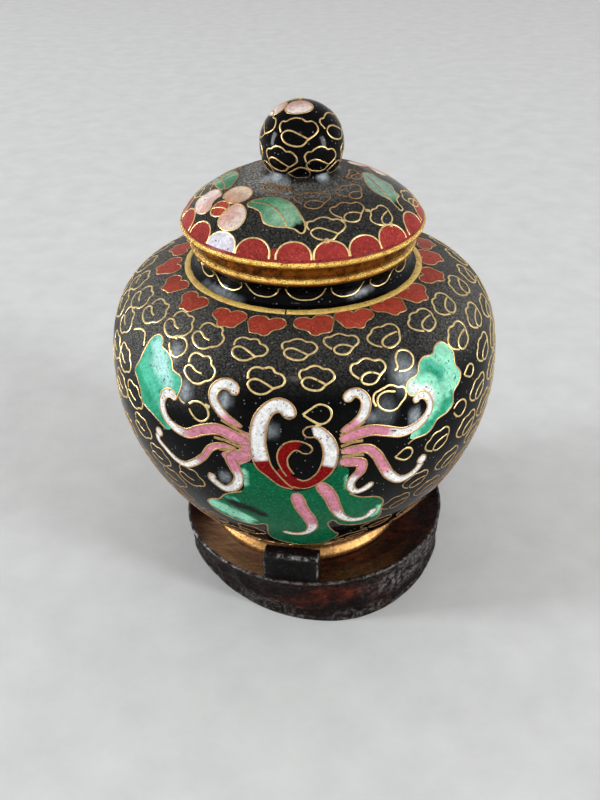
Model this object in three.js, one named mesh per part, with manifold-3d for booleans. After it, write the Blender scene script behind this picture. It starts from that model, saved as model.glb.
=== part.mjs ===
// A small lidded jar of enamelled copper on a carved wooden stand.
// Millimetres, +Z up. The origin is on the jar's axis, on the surface that the stand rests on.
import * as THREE from "three";
import { mergeVertices } from "three/addons/utils/BufferGeometryUtils.js";
import Module from "manifold-3d";

const wasm = await Module();
wasm.setup();

// Sides of a turned piece, and steps along its curves.
const TURNED_SIDES = 48;
const BELLY_STEPS = 9;
const NECK_STEPS = 5;
const DOME_STEPS = 9;
const HOLLOW_STEPS = 7;
const KNOB_STEPS = 10;

// Points closer than this are one point.
const SAME_POINT = 1e-4;

// The small rounding of a gilt edge.
const EDGE_ROUND = 0.4;

// The stand: a low round block, hollowed to a shallow seat, a little to one side of the jar's axis.
const STAND_OFFSET_X = 1.6;
const STAND_RADIUS = 29.8;
const STAND_FOOT_RADIUS = 28.6;
const STAND_HEIGHT = 11;
const STAND_EDGE = 0.7;
const SEAT_HEIGHT = 9.5;
const SEAT_RADIUS = 25;
const STAND_SIDES = 72;

// Gouge cuts on the stand's side, in staggered rows.
const GOUGES_ROUND = 18;
const GOUGE_ROWS = 2;
const GOUGE_DEPTH = 0.9;
const GOUGE_STEPS = 4;

// The upright claws that keep the jar in its seat.
const CLAW_COUNT = 3;
const CLAW_FIRST_ANGLE = -99.7;
const CLAW_WIDTH = 11.3;
const CLAW_TOP = 17;
const CLAW_OUTER = 29.1;
const CLAW_INNER_FOOT = 24.9;
const CLAW_INNER_TOP = 26.2;
const CLAW_BEVEL = 0.6;
const CLAW_ROOT = 1.6;

// The jar's body.
const WALL = 1.6;
const FOOT_RADIUS = 21.6;
const FOOT_WIDTH = 2.4;
const FOOT_HEIGHT = 3.9;
const FOOT_HOLLOW = 2.2;
const FOOT_EDGE = 0.8;
const FOOT_TAPER = 0.6;
const BELLY_FOOT_RADIUS = 20.6;
const BELLY_RADIUS = 38.85;
const BELLY_HEIGHT = 48.6;
const BELLY_FLARE = [28, 18.5];
const BELLY_BELOW = 15;
const BELLY_ABOVE = 14.3;
const SHOULDER_TURN = [34.7, 68.3];
const SHOULDER_RADIUS = 22.9;
const SHOULDER_HEIGHT = 70.2;
const FLOOR_HEIGHT = 13.6;
const FLOOR_RADIUS = 18.5;

// The waisted neck, the beaded lip and the collar that carries the lid.
const BAND_RADIUS = 21.4;
const BAND_HEIGHT = 70.5;
const NECK_RADIUS = 20.1;
const NECK_HEIGHT = 72.2;
const LIP_RADIUS = 21.5;
const LIP_LOW = 74;
const LIP_HIGH = 75.5;
const COLLAR_RADIUS = 20.6;
const MOUTH_RADIUS = 18.6;
const LID_SEAT = 78;

// The lid.
const RIM_RADIUS = 23;
const RIM_LOW = 78.4;
const RIM_HIGH = 79.5;
const RIM_UNDERCUT = 1;
const DOME_EDGE = 22.7;
const DOME_RISE = [20, 82.7];
const DOME_CROWN = [14.8, 85.9];
const KNOB_FOOT_RADIUS = 8.6;
const KNOB_FOOT_HEIGHT = 87;
const FLANGE_RADIUS = 18.2;
const FLANGE_WALL = 1;
const FLANGE_DROP = 3.6;
const FLANGE_ROOT = 1;
const LID_HOLLOW_TOP = 85.2;

// The ball knob.
const KNOB_RADIUS = 7.67;
const KNOB_HEIGHT = 92.2;
const KNOB_WAIST = 6.45;

const polished = { metalness: 0.05, roughness: 0.22 };
const blackEnamel = new THREE.MeshStandardMaterial({ color: 0x15161a, ...polished });
const lidEnamel = new THREE.MeshStandardMaterial({ color: 0x33161a, ...polished });
const darkWood = new THREE.MeshStandardMaterial({ color: 0x33221e, metalness: 0, roughness: 0.4 });

const at = ([radius, height]) => new THREE.Vector2(radius, height);

function bezier(start, startHandle, endHandle, end) {
  return new THREE.CubicBezierCurve(at(start), at(startHandle), at(endHandle), at(end));
}

// A curve set back by a wall's thickness, towards the axis.
function setBack(curve, wall, steps) {
  const points = [];
  for (let i = 0; i <= steps; i++) {
    const inward = curve.getTangent(i / steps);
    inward.set(-inward.y, inward.x);
    points.push(curve.getPoint(i / steps).addScaledVector(inward, wall));
  }
  return points;
}

// Turns a profile, given as radius and height, about the upright axis.
function turned(profile, sides) {
  return new THREE.LatheGeometry(profile, sides).rotateX(Math.PI / 2);
}

// The jar's outer line from the foot to the shoulder.
const widest = [BELLY_RADIUS, BELLY_HEIGHT];
const lowerBelly = bezier(
  [BELLY_FOOT_RADIUS, SEAT_HEIGHT + FOOT_HEIGHT],
  BELLY_FLARE,
  [BELLY_RADIUS, BELLY_HEIGHT - BELLY_BELOW],
  widest,
);
const upperBelly = bezier(
  widest,
  [BELLY_RADIUS, BELLY_HEIGHT + BELLY_ABOVE],
  SHOULDER_TURN,
  [SHOULDER_RADIUS, SHOULDER_HEIGHT],
);

// The neck's hollow, from the band up to the lip.
const neck = new THREE.SplineCurve([
  at([BAND_RADIUS, BAND_HEIGHT]),
  at([NECK_RADIUS, NECK_HEIGHT]),
  at([LIP_RADIUS - EDGE_ROUND, LIP_LOW]),
]);

function potProfile() {
  const footInner = FOOT_RADIUS - FOOT_WIDTH;
  const hollow = SEAT_HEIGHT + FOOT_HOLLOW;
  const insideLow = setBack(lowerBelly, WALL, BELLY_STEPS).filter((p) => p.y > FLOOR_HEIGHT + WALL);
  const insideHigh = setBack(upperBelly, WALL, BELLY_STEPS).slice(1, -1);
  const inside = [...insideLow, ...insideHigh];
  return [
    at([0, hollow]),
    at([footInner - FOOT_TAPER, hollow]),
    at([footInner, SEAT_HEIGHT]),
    at([FOOT_RADIUS, SEAT_HEIGHT]),
    at([FOOT_RADIUS, SEAT_HEIGHT + FOOT_EDGE]),
    ...lowerBelly.getPoints(BELLY_STEPS).slice(0, -1),
    ...upperBelly.getPoints(BELLY_STEPS),
    ...neck.getPoints(NECK_STEPS),
    at([LIP_RADIUS, LIP_LOW + EDGE_ROUND]),
    at([LIP_RADIUS, LIP_HIGH - EDGE_ROUND]),
    at([COLLAR_RADIUS, LIP_HIGH]),
    at([COLLAR_RADIUS, LID_SEAT]),
    at([MOUTH_RADIUS, LID_SEAT]),
    at([MOUTH_RADIUS, BAND_HEIGHT - WALL]),
    ...inside.reverse(),
    at([FLOOR_RADIUS, FLOOR_HEIGHT]),
    at([0, FLOOR_HEIGHT]),
  ];
}

// The ball above its waist, as heights and radii of one circle.
function ballProfile() {
  const waistAngle = -Math.acos(KNOB_WAIST / KNOB_RADIUS);
  const points = [];
  for (let i = 0; i < KNOB_STEPS; i++) {
    const angle = waistAngle + ((Math.PI / 2 - waistAngle) * i) / KNOB_STEPS;
    points.push(at([KNOB_RADIUS * Math.cos(angle), KNOB_HEIGHT + KNOB_RADIUS * Math.sin(angle)]));
  }
  points.push(at([0, KNOB_HEIGHT + KNOB_RADIUS]));
  return points;
}

function lidProfile() {
  const dome = bezier(
    [DOME_EDGE, RIM_HIGH],
    DOME_RISE,
    DOME_CROWN,
    [KNOB_FOOT_RADIUS, KNOB_FOOT_HEIGHT],
  );
  const flangeInner = FLANGE_RADIUS - FLANGE_WALL;
  const under = setBack(dome, WALL, HOLLOW_STEPS).filter((p) => p.x < flangeInner && p.y < LID_HOLLOW_TOP);
  return [
    at([0, LID_HOLLOW_TOP]),
    ...under.reverse(),
    at([flangeInner, LID_SEAT + FLANGE_ROOT]),
    at([flangeInner, LID_SEAT - FLANGE_DROP]),
    at([FLANGE_RADIUS, LID_SEAT - FLANGE_DROP]),
    at([FLANGE_RADIUS, LID_SEAT]),
    at([RIM_RADIUS - RIM_UNDERCUT, LID_SEAT]),
    at([RIM_RADIUS, RIM_LOW]),
    at([RIM_RADIUS, RIM_HIGH - EDGE_ROUND]),
    ...dome.getPoints(DOME_STEPS),
    ...ballProfile(),
  ];
}

// How far a gouge cut reaches in at an angle and a share of the side's height.
function gougeDepth(angle, share) {
  const row = Math.min(Math.floor(share * GOUGE_ROWS), GOUGE_ROWS - 1);
  const across = (angle * GOUGES_ROUND) / (2 * Math.PI) + row / 2;
  const up = share * GOUGE_ROWS - row;
  return GOUGE_DEPTH * Math.sin(Math.PI * up) * Math.sin(Math.PI * (across - Math.floor(across)));
}

// The stand's block, with the gouges worked into its turned side.
function standBlock() {
  const sideTop = STAND_HEIGHT - STAND_EDGE;
  const rows = GOUGE_ROWS * GOUGE_STEPS;
  const side = [];
  for (let i = 0; i <= rows; i++) {
    const share = i / rows;
    side.push(at([THREE.MathUtils.lerp(STAND_FOOT_RADIUS, STAND_RADIUS, share), sideTop * share]));
  }
  const block = turned(
    [
      at([0, 0]),
      ...side,
      at([STAND_RADIUS - STAND_EDGE, STAND_HEIGHT]),
      at([SEAT_RADIUS, SEAT_HEIGHT]),
      at([0, SEAT_HEIGHT]),
    ],
    STAND_SIDES,
  );
  const place = block.getAttribute("position");
  for (let i = 0; i < place.count; i++) {
    const radius = Math.hypot(place.getX(i), place.getY(i));
    if (radius < STAND_FOOT_RADIUS - SAME_POINT || place.getZ(i) > sideTop) continue;
    const angle = Math.atan2(place.getY(i), place.getX(i)) + Math.PI;
    const kept = 1 - gougeDepth(angle, place.getZ(i) / sideTop) / radius;
    place.setXY(i, place.getX(i) * kept, place.getY(i) * kept);
  }
  return block;
}

// One claw, rising from inside the block, its back leaning away from the jar.
function claw(index) {
  const outline = new THREE.Shape([
    at([CLAW_INNER_FOOT, SEAT_HEIGHT - CLAW_ROOT]),
    at([CLAW_OUTER - CLAW_ROOT, SEAT_HEIGHT - CLAW_ROOT]),
    at([CLAW_OUTER, STAND_HEIGHT - STAND_EDGE]),
    at([CLAW_OUTER, CLAW_TOP - CLAW_BEVEL]),
    at([CLAW_OUTER - CLAW_BEVEL, CLAW_TOP]),
    at([CLAW_INNER_TOP, CLAW_TOP]),
    at([CLAW_INNER_FOOT, SEAT_HEIGHT]),
  ]);
  const angle = CLAW_FIRST_ANGLE + (360 / CLAW_COUNT) * index;
  return new THREE.ExtrudeGeometry(outline, { depth: CLAW_WIDTH, bevelEnabled: false, steps: 1 })
    .translate(0, 0, -CLAW_WIDTH / 2)
    .rotateX(Math.PI / 2)
    .rotateZ(THREE.MathUtils.degToRad(angle));
}

function solid(geometry) {
  const bare = geometry.clone();
  bare.deleteAttribute("normal");
  bare.deleteAttribute("uv");
  const merged = mergeVertices(bare, SAME_POINT);
  return new wasm.Manifold(
    new wasm.Mesh({
      numProp: 3,
      vertProperties: new Float32Array(merged.getAttribute("position").array),
      triVerts: new Uint32Array(merged.index.array),
    }),
  );
}

function geometryOf(manifold) {
  const mesh = manifold.getMesh();
  const geometry = new THREE.BufferGeometry();
  geometry.setAttribute("position", new THREE.BufferAttribute(mesh.vertProperties, 3));
  geometry.setIndex(new THREE.BufferAttribute(mesh.triVerts, 1));
  geometry.computeVertexNormals();
  return geometry;
}

function carvedStand() {
  let carved = solid(standBlock());
  for (let i = 0; i < CLAW_COUNT; i++) carved = carved.add(solid(claw(i)));
  return geometryOf(carved);
}

function piece(name, geometry, material) {
  const mesh = new THREE.Mesh(geometry, material);
  mesh.name = name;
  return mesh;
}

const jar = new THREE.Group();
jar.add(piece("pot", turned(potProfile(), TURNED_SIDES), blackEnamel));
jar.add(piece("lid", turned(lidProfile(), TURNED_SIDES), lidEnamel));

const base = new THREE.Group();
base.position.x = STAND_OFFSET_X;
base.add(piece("stand", carvedStand(), darkWood));

const whole = new THREE.Group();
whole.add(base, jar);

export default whole;
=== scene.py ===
import math
import random

import bmesh
import bpy
import numpy as np
from mathutils import Matrix, Vector, noise
from mathutils.geometry import delaunay_2d_cdt


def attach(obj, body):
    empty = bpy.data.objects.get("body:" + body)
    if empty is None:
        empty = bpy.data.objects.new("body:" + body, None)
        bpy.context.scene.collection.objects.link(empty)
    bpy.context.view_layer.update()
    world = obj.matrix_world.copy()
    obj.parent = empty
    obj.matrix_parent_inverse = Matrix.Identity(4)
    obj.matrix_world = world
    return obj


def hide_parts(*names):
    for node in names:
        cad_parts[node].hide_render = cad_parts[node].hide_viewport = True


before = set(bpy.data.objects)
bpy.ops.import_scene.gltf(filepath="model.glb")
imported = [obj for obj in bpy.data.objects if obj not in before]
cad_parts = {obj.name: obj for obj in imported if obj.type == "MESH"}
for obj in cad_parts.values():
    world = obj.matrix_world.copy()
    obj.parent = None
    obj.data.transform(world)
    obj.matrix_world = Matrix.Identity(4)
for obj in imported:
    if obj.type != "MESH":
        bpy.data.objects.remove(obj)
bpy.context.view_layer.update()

mm = 0.001
rng = random.Random(11)

# the camera stands where the photograph was taken from, in millimetres and degrees
cameraLook = {
    "focalPixels": 850.0,
    "frame": (600, 800),
    "place": (0.0, -153.34, 139.07),
    "pitch": 33.8,
    "yaw": -0.39,
    "roll": -0.88,
}


def cameraAxes():
    pitch, yaw, roll = (math.radians(cameraLook[key]) for key in ("pitch", "yaw", "roll"))
    level = np.array([math.cos(yaw), -math.sin(yaw), 0.0])
    forward = np.array([math.sin(yaw) * math.cos(pitch), math.cos(yaw) * math.cos(pitch), -math.sin(pitch)])
    upright = np.array([math.sin(yaw) * math.sin(pitch), math.cos(yaw) * math.sin(pitch), math.cos(pitch)])
    right = math.cos(roll) * level + math.sin(roll) * upright
    up = -math.sin(roll) * level + math.cos(roll) * upright
    return right, up, forward


def makeCamera():
    right, up, forward = cameraAxes()
    data = bpy.data.cameras.new("camera")
    data.sensor_fit = "VERTICAL"
    data.sensor_height = 36.0
    data.lens = cameraLook["focalPixels"] * data.sensor_height / cameraLook["frame"][1]
    data.clip_start = 0.01
    data.clip_end = 20.0
    eye = bpy.data.objects.new("camera", data)
    bpy.context.scene.collection.objects.link(eye)
    columns = (right, up, -forward, np.array(cameraLook["place"]) * mm)
    rows = [[float(column[i]) for column in columns] for i in range(3)]
    eye.matrix_world = Matrix(rows + [[0.0, 0.0, 0.0, 1.0]])
    bpy.context.scene.camera = eye


makeCamera()
print("camera set")


# lines and turned surfaces, all in millimetres
def bezierLine(start, startHandle, endHandle, end, steps):
    t = np.linspace(0.0, 1.0, steps + 1)[:, None]
    a, b, c, d = (np.array(p, float) for p in (start, startHandle, endHandle, end))
    return (1 - t) ** 3 * a + 3 * t * (1 - t) ** 2 * b + 3 * t**2 * (1 - t) * c + t**3 * d


def respace(line, step):
    lengths = np.concatenate([[0.0], np.cumsum(np.linalg.norm(np.diff(line, axis=0), axis=1))])
    count = max(3, int(round(lengths[-1] / step)) + 1)
    marks = np.linspace(0.0, lengths[-1], count)
    return np.stack([np.interp(marks, lengths, line[:, i]) for i in range(line.shape[1])], axis=1)


def smoothLine(points, step, closed=False):
    points = np.asarray(points, float)
    if closed:
        padded = np.vstack([points[-1:], points, points[:2]])
    else:
        padded = np.vstack([2 * points[:1] - points[1:2], points, 2 * points[-1:] - points[-2:-1]])
    steps = np.linalg.norm(np.diff(padded, axis=0), axis=1) ** 0.5
    knots = np.concatenate([[0.0], np.cumsum(steps + 1e-9)])
    spans = []
    for i in range(1, len(padded) - 2):
        p0, p1, p2, p3 = padded[i - 1 : i + 3]
        t0, t1, t2, t3 = knots[i - 1 : i + 3]
        t = np.linspace(t1, t2, 14, endpoint=False)[:, None]
        a1 = (t1 - t) / (t1 - t0) * p0 + (t - t0) / (t1 - t0) * p1
        a2 = (t2 - t) / (t2 - t1) * p1 + (t - t1) / (t2 - t1) * p2
        a3 = (t3 - t) / (t3 - t2) * p2 + (t - t2) / (t3 - t2) * p3
        b1 = (t2 - t) / (t2 - t0) * a1 + (t - t0) / (t2 - t0) * a2
        b2 = (t3 - t) / (t3 - t1) * a2 + (t - t1) / (t3 - t1) * a3
        spans.append((t2 - t) / (t2 - t1) * b1 + (t - t1) / (t2 - t1) * b2)
    spans.append(padded[-2:-1])
    line = respace(np.vstack(spans), step)
    return line[:-1] if closed else line


def makeSurface(profile, chart):
    profile = np.asarray(profile, float)
    along = np.concatenate([[0.0], np.cumsum(np.linalg.norm(np.diff(profile, axis=0), axis=1))])
    slope = np.gradient(profile, along, axis=0)
    slope /= np.linalg.norm(slope, axis=1)[:, None]
    return {
        "along": along,
        "radius": profile[:, 0],
        "height": profile[:, 1],
        "outward": slope[:, 1],
        "upward": -slope[:, 0],
        "chart": chart,  # the radius that unrolls angles to millimetres
    }


def makeCap(radius, height):
    return {"capRadius": radius, "capHeight": height}


# flat places on a surface (round it, up it) to points in space
def place(surface, flat, lift=0.0):
    flat = np.asarray(flat, float)
    if "capRadius" in surface:
        far = np.hypot(flat[:, 0], flat[:, 1])
        lean = far / surface["capRadius"]
        share = np.sin(lean) / np.maximum(far, 1e-9)
        way = np.stack([flat[:, 0] * share, flat[:, 1] * share, np.cos(lean)], axis=1)
        return way * (surface["capRadius"] + lift) + np.array([0.0, 0.0, surface["capHeight"]])
    angle = flat[:, 0] / surface["chart"]

    def read(key):
        return np.interp(flat[:, 1], surface["along"], surface[key])

    size = np.hypot(read("outward"), read("upward"))
    radius = read("radius") + lift * read("outward") / size
    height = read("height") + lift * read("upward") / size
    return np.stack([radius * np.sin(angle), -radius * np.cos(angle), height], axis=1)


def alongAt(surface, height):
    return float(np.interp(height, surface["height"], surface["along"]))


def radiusAt(surface, along):
    return np.interp(along, surface["along"], surface["radius"])


# where the photograph's pixels fall on a turned surface
def castPixels(surface, pixels):
    right, up, forward = cameraAxes()
    middle = (cameraLook["frame"][0] / 2, cameraLook["frame"][1] / 2)
    reach = np.linspace(60.0, 320.0, 2601)
    spots = []
    for px, py in pixels:
        across = (px - middle[0]) / cameraLook["focalPixels"]
        above = (middle[1] - py) / cameraLook["focalPixels"]
        ray = forward + across * right + above * up

        def outside(far):
            spot = np.array(cameraLook["place"]) + np.atleast_1d(far)[:, None] * ray
            edge = np.interp(spot[:, 2], surface["height"], surface["radius"], left=-9.0, right=-9.0)
            return np.hypot(spot[:, 0], spot[:, 1]) - edge, spot

        gap = outside(reach)[0]
        first = int(np.argmax(gap < 0)) if (gap < 0).any() else int(np.argmin(gap))
        near, far = reach[max(first - 1, 0)], reach[first]
        if (gap < 0).any():
            for _ in range(24):
                half = (near + far) / 2
                if outside(half)[0][0] < 0:
                    far = half
                else:
                    near = half
        x, y, z = outside(far)[1][0]
        spots.append((math.atan2(x, -y) * surface["chart"], alongAt(surface, z)))
    return np.array(spots)


def tracePixels(surface, pixels, step, closed=False, shift=0.0):
    return smoothLine(castPixels(surface, pixels) + np.array([shift, 0.0]), step, closed)


def degreesAt(surface, run):
    return math.degrees(run / surface["chart"])


# meshes are gathered in trays, one tray for each piece
def newTray():
    return {"verts": [], "faces": [], "tints": [], "count": 0}


def addMesh(tray, verts, faces, tints=None):
    start = tray["count"]
    verts = np.asarray(verts, float)
    tray["verts"].append(verts)
    tray["faces"].extend([tuple(int(i) + start for i in face) for face in faces])
    tray["tints"].append(np.ones((len(verts), 3)) if tints is None else np.asarray(tints, float))
    tray["count"] += len(verts)


def finishPiece(mesh, material, sharp):
    mesh.polygons.foreach_set("use_smooth", [True] * len(mesh.polygons))
    mesh.update()
    mesh.set_sharp_from_angle(angle=math.radians(sharp))
    piece = bpy.data.objects.new(mesh.name, mesh)
    bpy.context.scene.collection.objects.link(piece)
    mesh.materials.append(material)
    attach(piece, "root")
    return piece


def trayToPiece(name, tray, material, sharp=40.0):
    mesh = bpy.data.meshes.new(name)
    mesh.from_pydata((np.vstack(tray["verts"]) * mm).tolist(), [], tray["faces"])
    tints = np.vstack(tray["tints"])
    layer = mesh.color_attributes.new("tint", "FLOAT_COLOR", "POINT")
    layer.data.foreach_set("color", np.hstack([tints, np.ones((len(tints), 1))]).astype(np.float32).ravel())
    return finishPiece(mesh, material, sharp)


# turns a profile about the upright axis; a ring's profile closes on itself
def addTurned(tray, profile, sides, ring=False):
    profile = np.asarray(profile, float)
    turn = np.linspace(0.0, 2 * math.pi, sides, endpoint=False)
    verts, rows = [], []
    for radius, height in profile:
        if radius < 1e-6:
            rows.append([len(verts)] * sides)
            verts.append((0.0, 0.0, height))
        else:
            rows.append(list(range(len(verts), len(verts) + sides)))
            verts.extend((radius * math.sin(a), -radius * math.cos(a), height) for a in turn)
    faces = []
    pairs = list(zip(rows[:-1], rows[1:]))
    if ring:
        pairs.append((rows[-1], rows[0]))
    for low, high in pairs:
        for j in range(sides):
            k = (j + 1) % sides
            corners = [low[j], low[k], high[k], high[j]]
            faces.append(tuple(dict.fromkeys(corners)))
    addMesh(tray, verts, faces)


# a drawn wire: flat bottom sunk in the enamel, soft shoulders, a little proud
wireLook = {"width": 0.35, "proud": 0.075, "sunk": 0.12, "step": 0.36, "wobble": 0.1}


def addWire(tray, surface, line, width=None, closed=False, proud=None):
    width = width or wireLook["width"]
    proud = proud or wireLook["proud"]
    spots = place(surface, line)
    normal = place(surface, line, 1.0) - spots
    if closed:
        way = np.roll(spots, -1, axis=0) - np.roll(spots, 1, axis=0)
    else:
        way = np.gradient(spots, axis=0)
    way /= np.linalg.norm(way, axis=1)[:, None] + 1e-12
    left = np.cross(normal, way)
    left /= np.linalg.norm(left, axis=1)[:, None] + 1e-12
    seed = rng.uniform(0.0, 90.0)
    swell = np.array([noise.noise((i * 0.22, seed, 0.0)) for i in range(len(spots))])
    half = (width / 2 * (1.0 + 2.0 * wireLook["wobble"] * swell))[:, None]
    section = [(1.0, -wireLook["sunk"]), (1.0, proud * 0.45), (0.6, proud), (-0.6, proud)]
    section += [(-1.0, proud * 0.45), (-1.0, -wireLook["sunk"])]
    count, ringSize = len(spots), len(section)
    verts = np.stack([spots + left * half * b + normal * n for b, n in section], axis=1).reshape(-1, 3)
    faces = []
    for i in range(count if closed else count - 1):
        j = (i + 1) % count
        for k in range(ringSize):
            m = (k + 1) % ringSize
            faces.append((i * ringSize + k, i * ringSize + m, j * ringSize + m, j * ringSize + k))
    if not closed:
        faces.append(tuple(reversed(range(ringSize))))
        faces.append(tuple(range((count - 1) * ringSize, count * ringSize)))
    addMesh(tray, verts, faces)


def insideOutline(points, outline):
    x, y = points[:, 0], points[:, 1]
    inside = np.zeros(len(points), bool)
    ends = np.roll(outline, -1, axis=0)
    for (x0, y0), (x1, y1) in zip(outline, ends):
        crosses = (y0 > y) != (y1 > y)
        if crosses.any():
            inside ^= crosses & (x < (x1 - x0) * (y - y0) / (y1 - y0 + 1e-15) + x0)
    return inside


# a skin over the surface is closed by a copy sunk in the ground and a wall round its open edges
def addSkin(tray, surface, flat, faces, lift, tints):
    count = len(flat)
    edges = set()
    for face in faces:
        edges.update((face[i], face[(i + 1) % len(face)]) for i in range(len(face)))
    skin = [tuple(face) for face in faces]
    skin += [tuple(count + i for i in reversed(face)) for face in faces]
    skin += [(a + count, b + count, b, a) for a, b in sorted(edges) if (b, a) not in edges]
    verts = np.vstack([place(surface, flat, lift), place(surface, flat, -cellLook["sunk"])])
    addMesh(tray, verts, skin, np.vstack([tints, tints]))


# an enamel cell: a thin closed skin over the surface, filling an outline
# the rim tint darkens stroke edges beside the wires: a painted reflection of the gilt wires
cellLook = {"grid": 0.85, "keepOff": 0.4, "sunk": 0.1, "rim": (0.5, 0.28, 0.22)}


def addCell(tray, surface, outline, lift, tintAt):
    outline = np.asarray(outline, float)
    ends = np.roll(outline, -1, axis=0)
    if np.sum(outline[:, 0] * ends[:, 1] - ends[:, 0] * outline[:, 1]) < 0:
        outline = outline[::-1]
    low, high = outline.min(axis=0), outline.max(axis=0)
    grid = cellLook["grid"]
    gx, gy = np.meshgrid(np.arange(low[0], high[0], grid), np.arange(low[1], high[1], grid))
    points = np.stack([gx.ravel(), gy.ravel()], axis=1)
    if len(points):
        points = points[insideOutline(points, outline)]
    if len(points):
        gaps = np.linalg.norm(points[:, None, :] - outline[None, :, :], axis=2).min(axis=1)
        points = points[gaps > cellLook["keepOff"]]
    every = [Vector(p) for p in np.vstack([outline, points])]
    flat, _, faces, _, _, _ = delaunay_2d_cdt(every, [], [list(range(len(outline)))], 1, 1e-6)
    flat = np.array([tuple(v) for v in flat])
    addSkin(tray, surface, flat, faces, lift, np.array([tintAt(p) for p in flat]))


# the two edges of a stroke that swells and narrows along its route; tight curls narrow the inner edge
def strokeEdges(route, half):
    way = np.gradient(route, axis=0)
    step = np.linalg.norm(way, axis=1)
    way /= step[:, None] + 1e-12
    bend = np.gradient(np.unwrap(np.arctan2(way[:, 1], way[:, 0]))) / (step + 1e-12)
    left = np.stack([-way[:, 1], way[:, 0]], axis=1)
    room = 0.85 / (np.abs(bend) + 1e-6)
    leftHalf = np.where(bend > 0, np.minimum(half, room), half)
    rightHalf = np.where(bend < 0, np.minimum(half, room), half)
    return left, leftHalf, rightHalf


def addStroke(tray, surface, route, half, lift, tints):
    left, leftHalf, rightHalf = strokeEdges(route, half)
    shares = (-1.0, -0.6, -0.3, 0.0, 0.3, 0.6, 1.0)
    across = len(shares)
    columns = [route + left * (np.where(s > 0, leftHalf, rightHalf) * s)[:, None] for s in shares]
    flat = np.stack(columns, axis=1).reshape(-1, 2)
    faces = []
    for i in range(len(route) - 1):
        for k in range(across - 1):
            a, b = i * across + k, (i + 1) * across + k
            faces.append((a, b, b + 1, a + 1))
    # the edge columns take the rim tint, a painted reflection of the gilt wires
    wireReflections = np.array([cellLook["rim"] if abs(s) == 1.0 else (1.0, 1.0, 1.0) for s in shares])
    addSkin(tray, surface, flat, faces, lift, (tints[:, None, :] * wireReflections[None, :, :]).reshape(-1, 3))


def moveMotif(surface, shape, angle, along, size, turn=0.0, mirror=False):
    shape = np.asarray(shape, float) * size
    if mirror:
        shape = shape * np.array([-1.0, 1.0])
    c, s = math.cos(math.radians(turn)), math.sin(math.radians(turn))
    shape = np.stack([shape[:, 0] * c - shape[:, 1] * s, shape[:, 0] * s + shape[:, 1] * c], axis=1)
    rise = along + shape[:, 1]
    run = math.radians(angle) * surface["chart"] + shape[:, 0] * surface["chart"] / radiusAt(surface, rise)
    return np.stack([run, rise], axis=1)


def smoothStep(low, high, value):
    t = np.clip((value - low) / (high - low), 0.0, 1.0)
    return t * t * (3 - 2 * t)


def raggedAt(p, scale, seed):
    return noise.noise((p[0] * scale, p[1] * scale, seed))


def paint(code):
    parts = [int(code[i : i + 2], 16) / 255 for i in (1, 3, 5)]
    return np.array([p / 12.92 if p <= 0.04045 else ((p + 0.055) / 1.055) ** 2.4 for p in parts])


def blendPaint(first, second, share):
    share = np.asarray(share, float)
    return first * (1 - share[..., None]) + second * share[..., None]


# finishes
enamelPaint = {
    "brick": paint("#a23f30"),
    "maroon": paint("#91322d"),
    "crimson": paint("#780508"),
    "pink": paint("#cb8294"),
    "rose": paint("#d6a79c"),
    "blush": paint("#ebdcd4"),
    "white": paint("#e8e7e4"),
    "leaf": paint("#005a38"),
    "grass": paint("#2b9470"),
    "sage": paint("#86ad8e"),
    "fern": paint("#3d7d5a"),
    "ash": paint("#8aa392"),
    "mint": paint("#93dcbb"),
    "aqua": paint("#a2dbd0"),
    "sea": paint("#4fb595"),
    "lilac": paint("#d8d1dc"),
    "ink": paint("#070608"),
}


def newMaterial(name):
    material = bpy.data.materials.new(name)
    material.use_nodes = True
    tree = material.node_tree
    shader = next(n for n in tree.nodes if n.type == "BSDF_PRINCIPLED")
    return material, tree, shader


def addNode(tree, kind, links=None, **values):
    made = tree.nodes.new(kind)
    for key, value in values.items():
        if hasattr(made, key):
            setattr(made, key, value)
        else:
            made.inputs[key.replace("_", " ")].default_value = value
    for key, source in (links or {}).items():
        tree.links.new(source, made.inputs[key])
    return made


def objectCoords(tree, stretch=None):
    coords = addNode(tree, "ShaderNodeTexCoord").outputs["Object"]
    if stretch:
        coords = addNode(tree, "ShaderNodeMapping", {"Vector": coords}, Scale=stretch).outputs["Vector"]
    return coords


def tintNode(tree):
    return addNode(tree, "ShaderNodeAttribute", attribute_name="tint").outputs["Color"]


def grainNode(tree, coords, scale, detail=3.0, roughness=0.55):
    noiseNode = addNode(tree, "ShaderNodeTexNoise", {"Vector": coords}, Scale=scale, Detail=detail)
    noiseNode.inputs["Roughness"].default_value = roughness
    return noiseNode.outputs["Fac"]


def rampNode(tree, fac, stops):
    ramp = addNode(tree, "ShaderNodeValToRGB", {"Fac": fac})
    band = ramp.color_ramp
    while len(band.elements) < len(stops):
        band.elements.new(0.5)
    for element, (spot, shade) in zip(band.elements, stops):
        element.position = spot
        element.color = (*shade, 1.0) if hasattr(shade, "__len__") else (shade, shade, shade, 1.0)
    return ramp.outputs["Color"]


def mixNode(tree, fac, first, second, how="MIX"):
    mixer = addNode(tree, "ShaderNodeMix", data_type="RGBA", blend_type=how)
    for socket, value in ((mixer.inputs[0], fac), (mixer.inputs[6], first), (mixer.inputs[7], second)):
        if hasattr(value, "is_linked"):
            tree.links.new(value, socket)
        elif hasattr(value, "__len__"):
            socket.default_value = (*value, 1.0)
        else:
            socket.default_value = value
    return mixer.outputs[2]


def bumpNode(tree, height, strength, distance, before=None):
    made = addNode(tree, "ShaderNodeBump", {"Height": height}, Strength=strength, Distance=distance)
    if before is not None:
        tree.links.new(before, made.inputs["Normal"])
    return made.outputs["Normal"]


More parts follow.
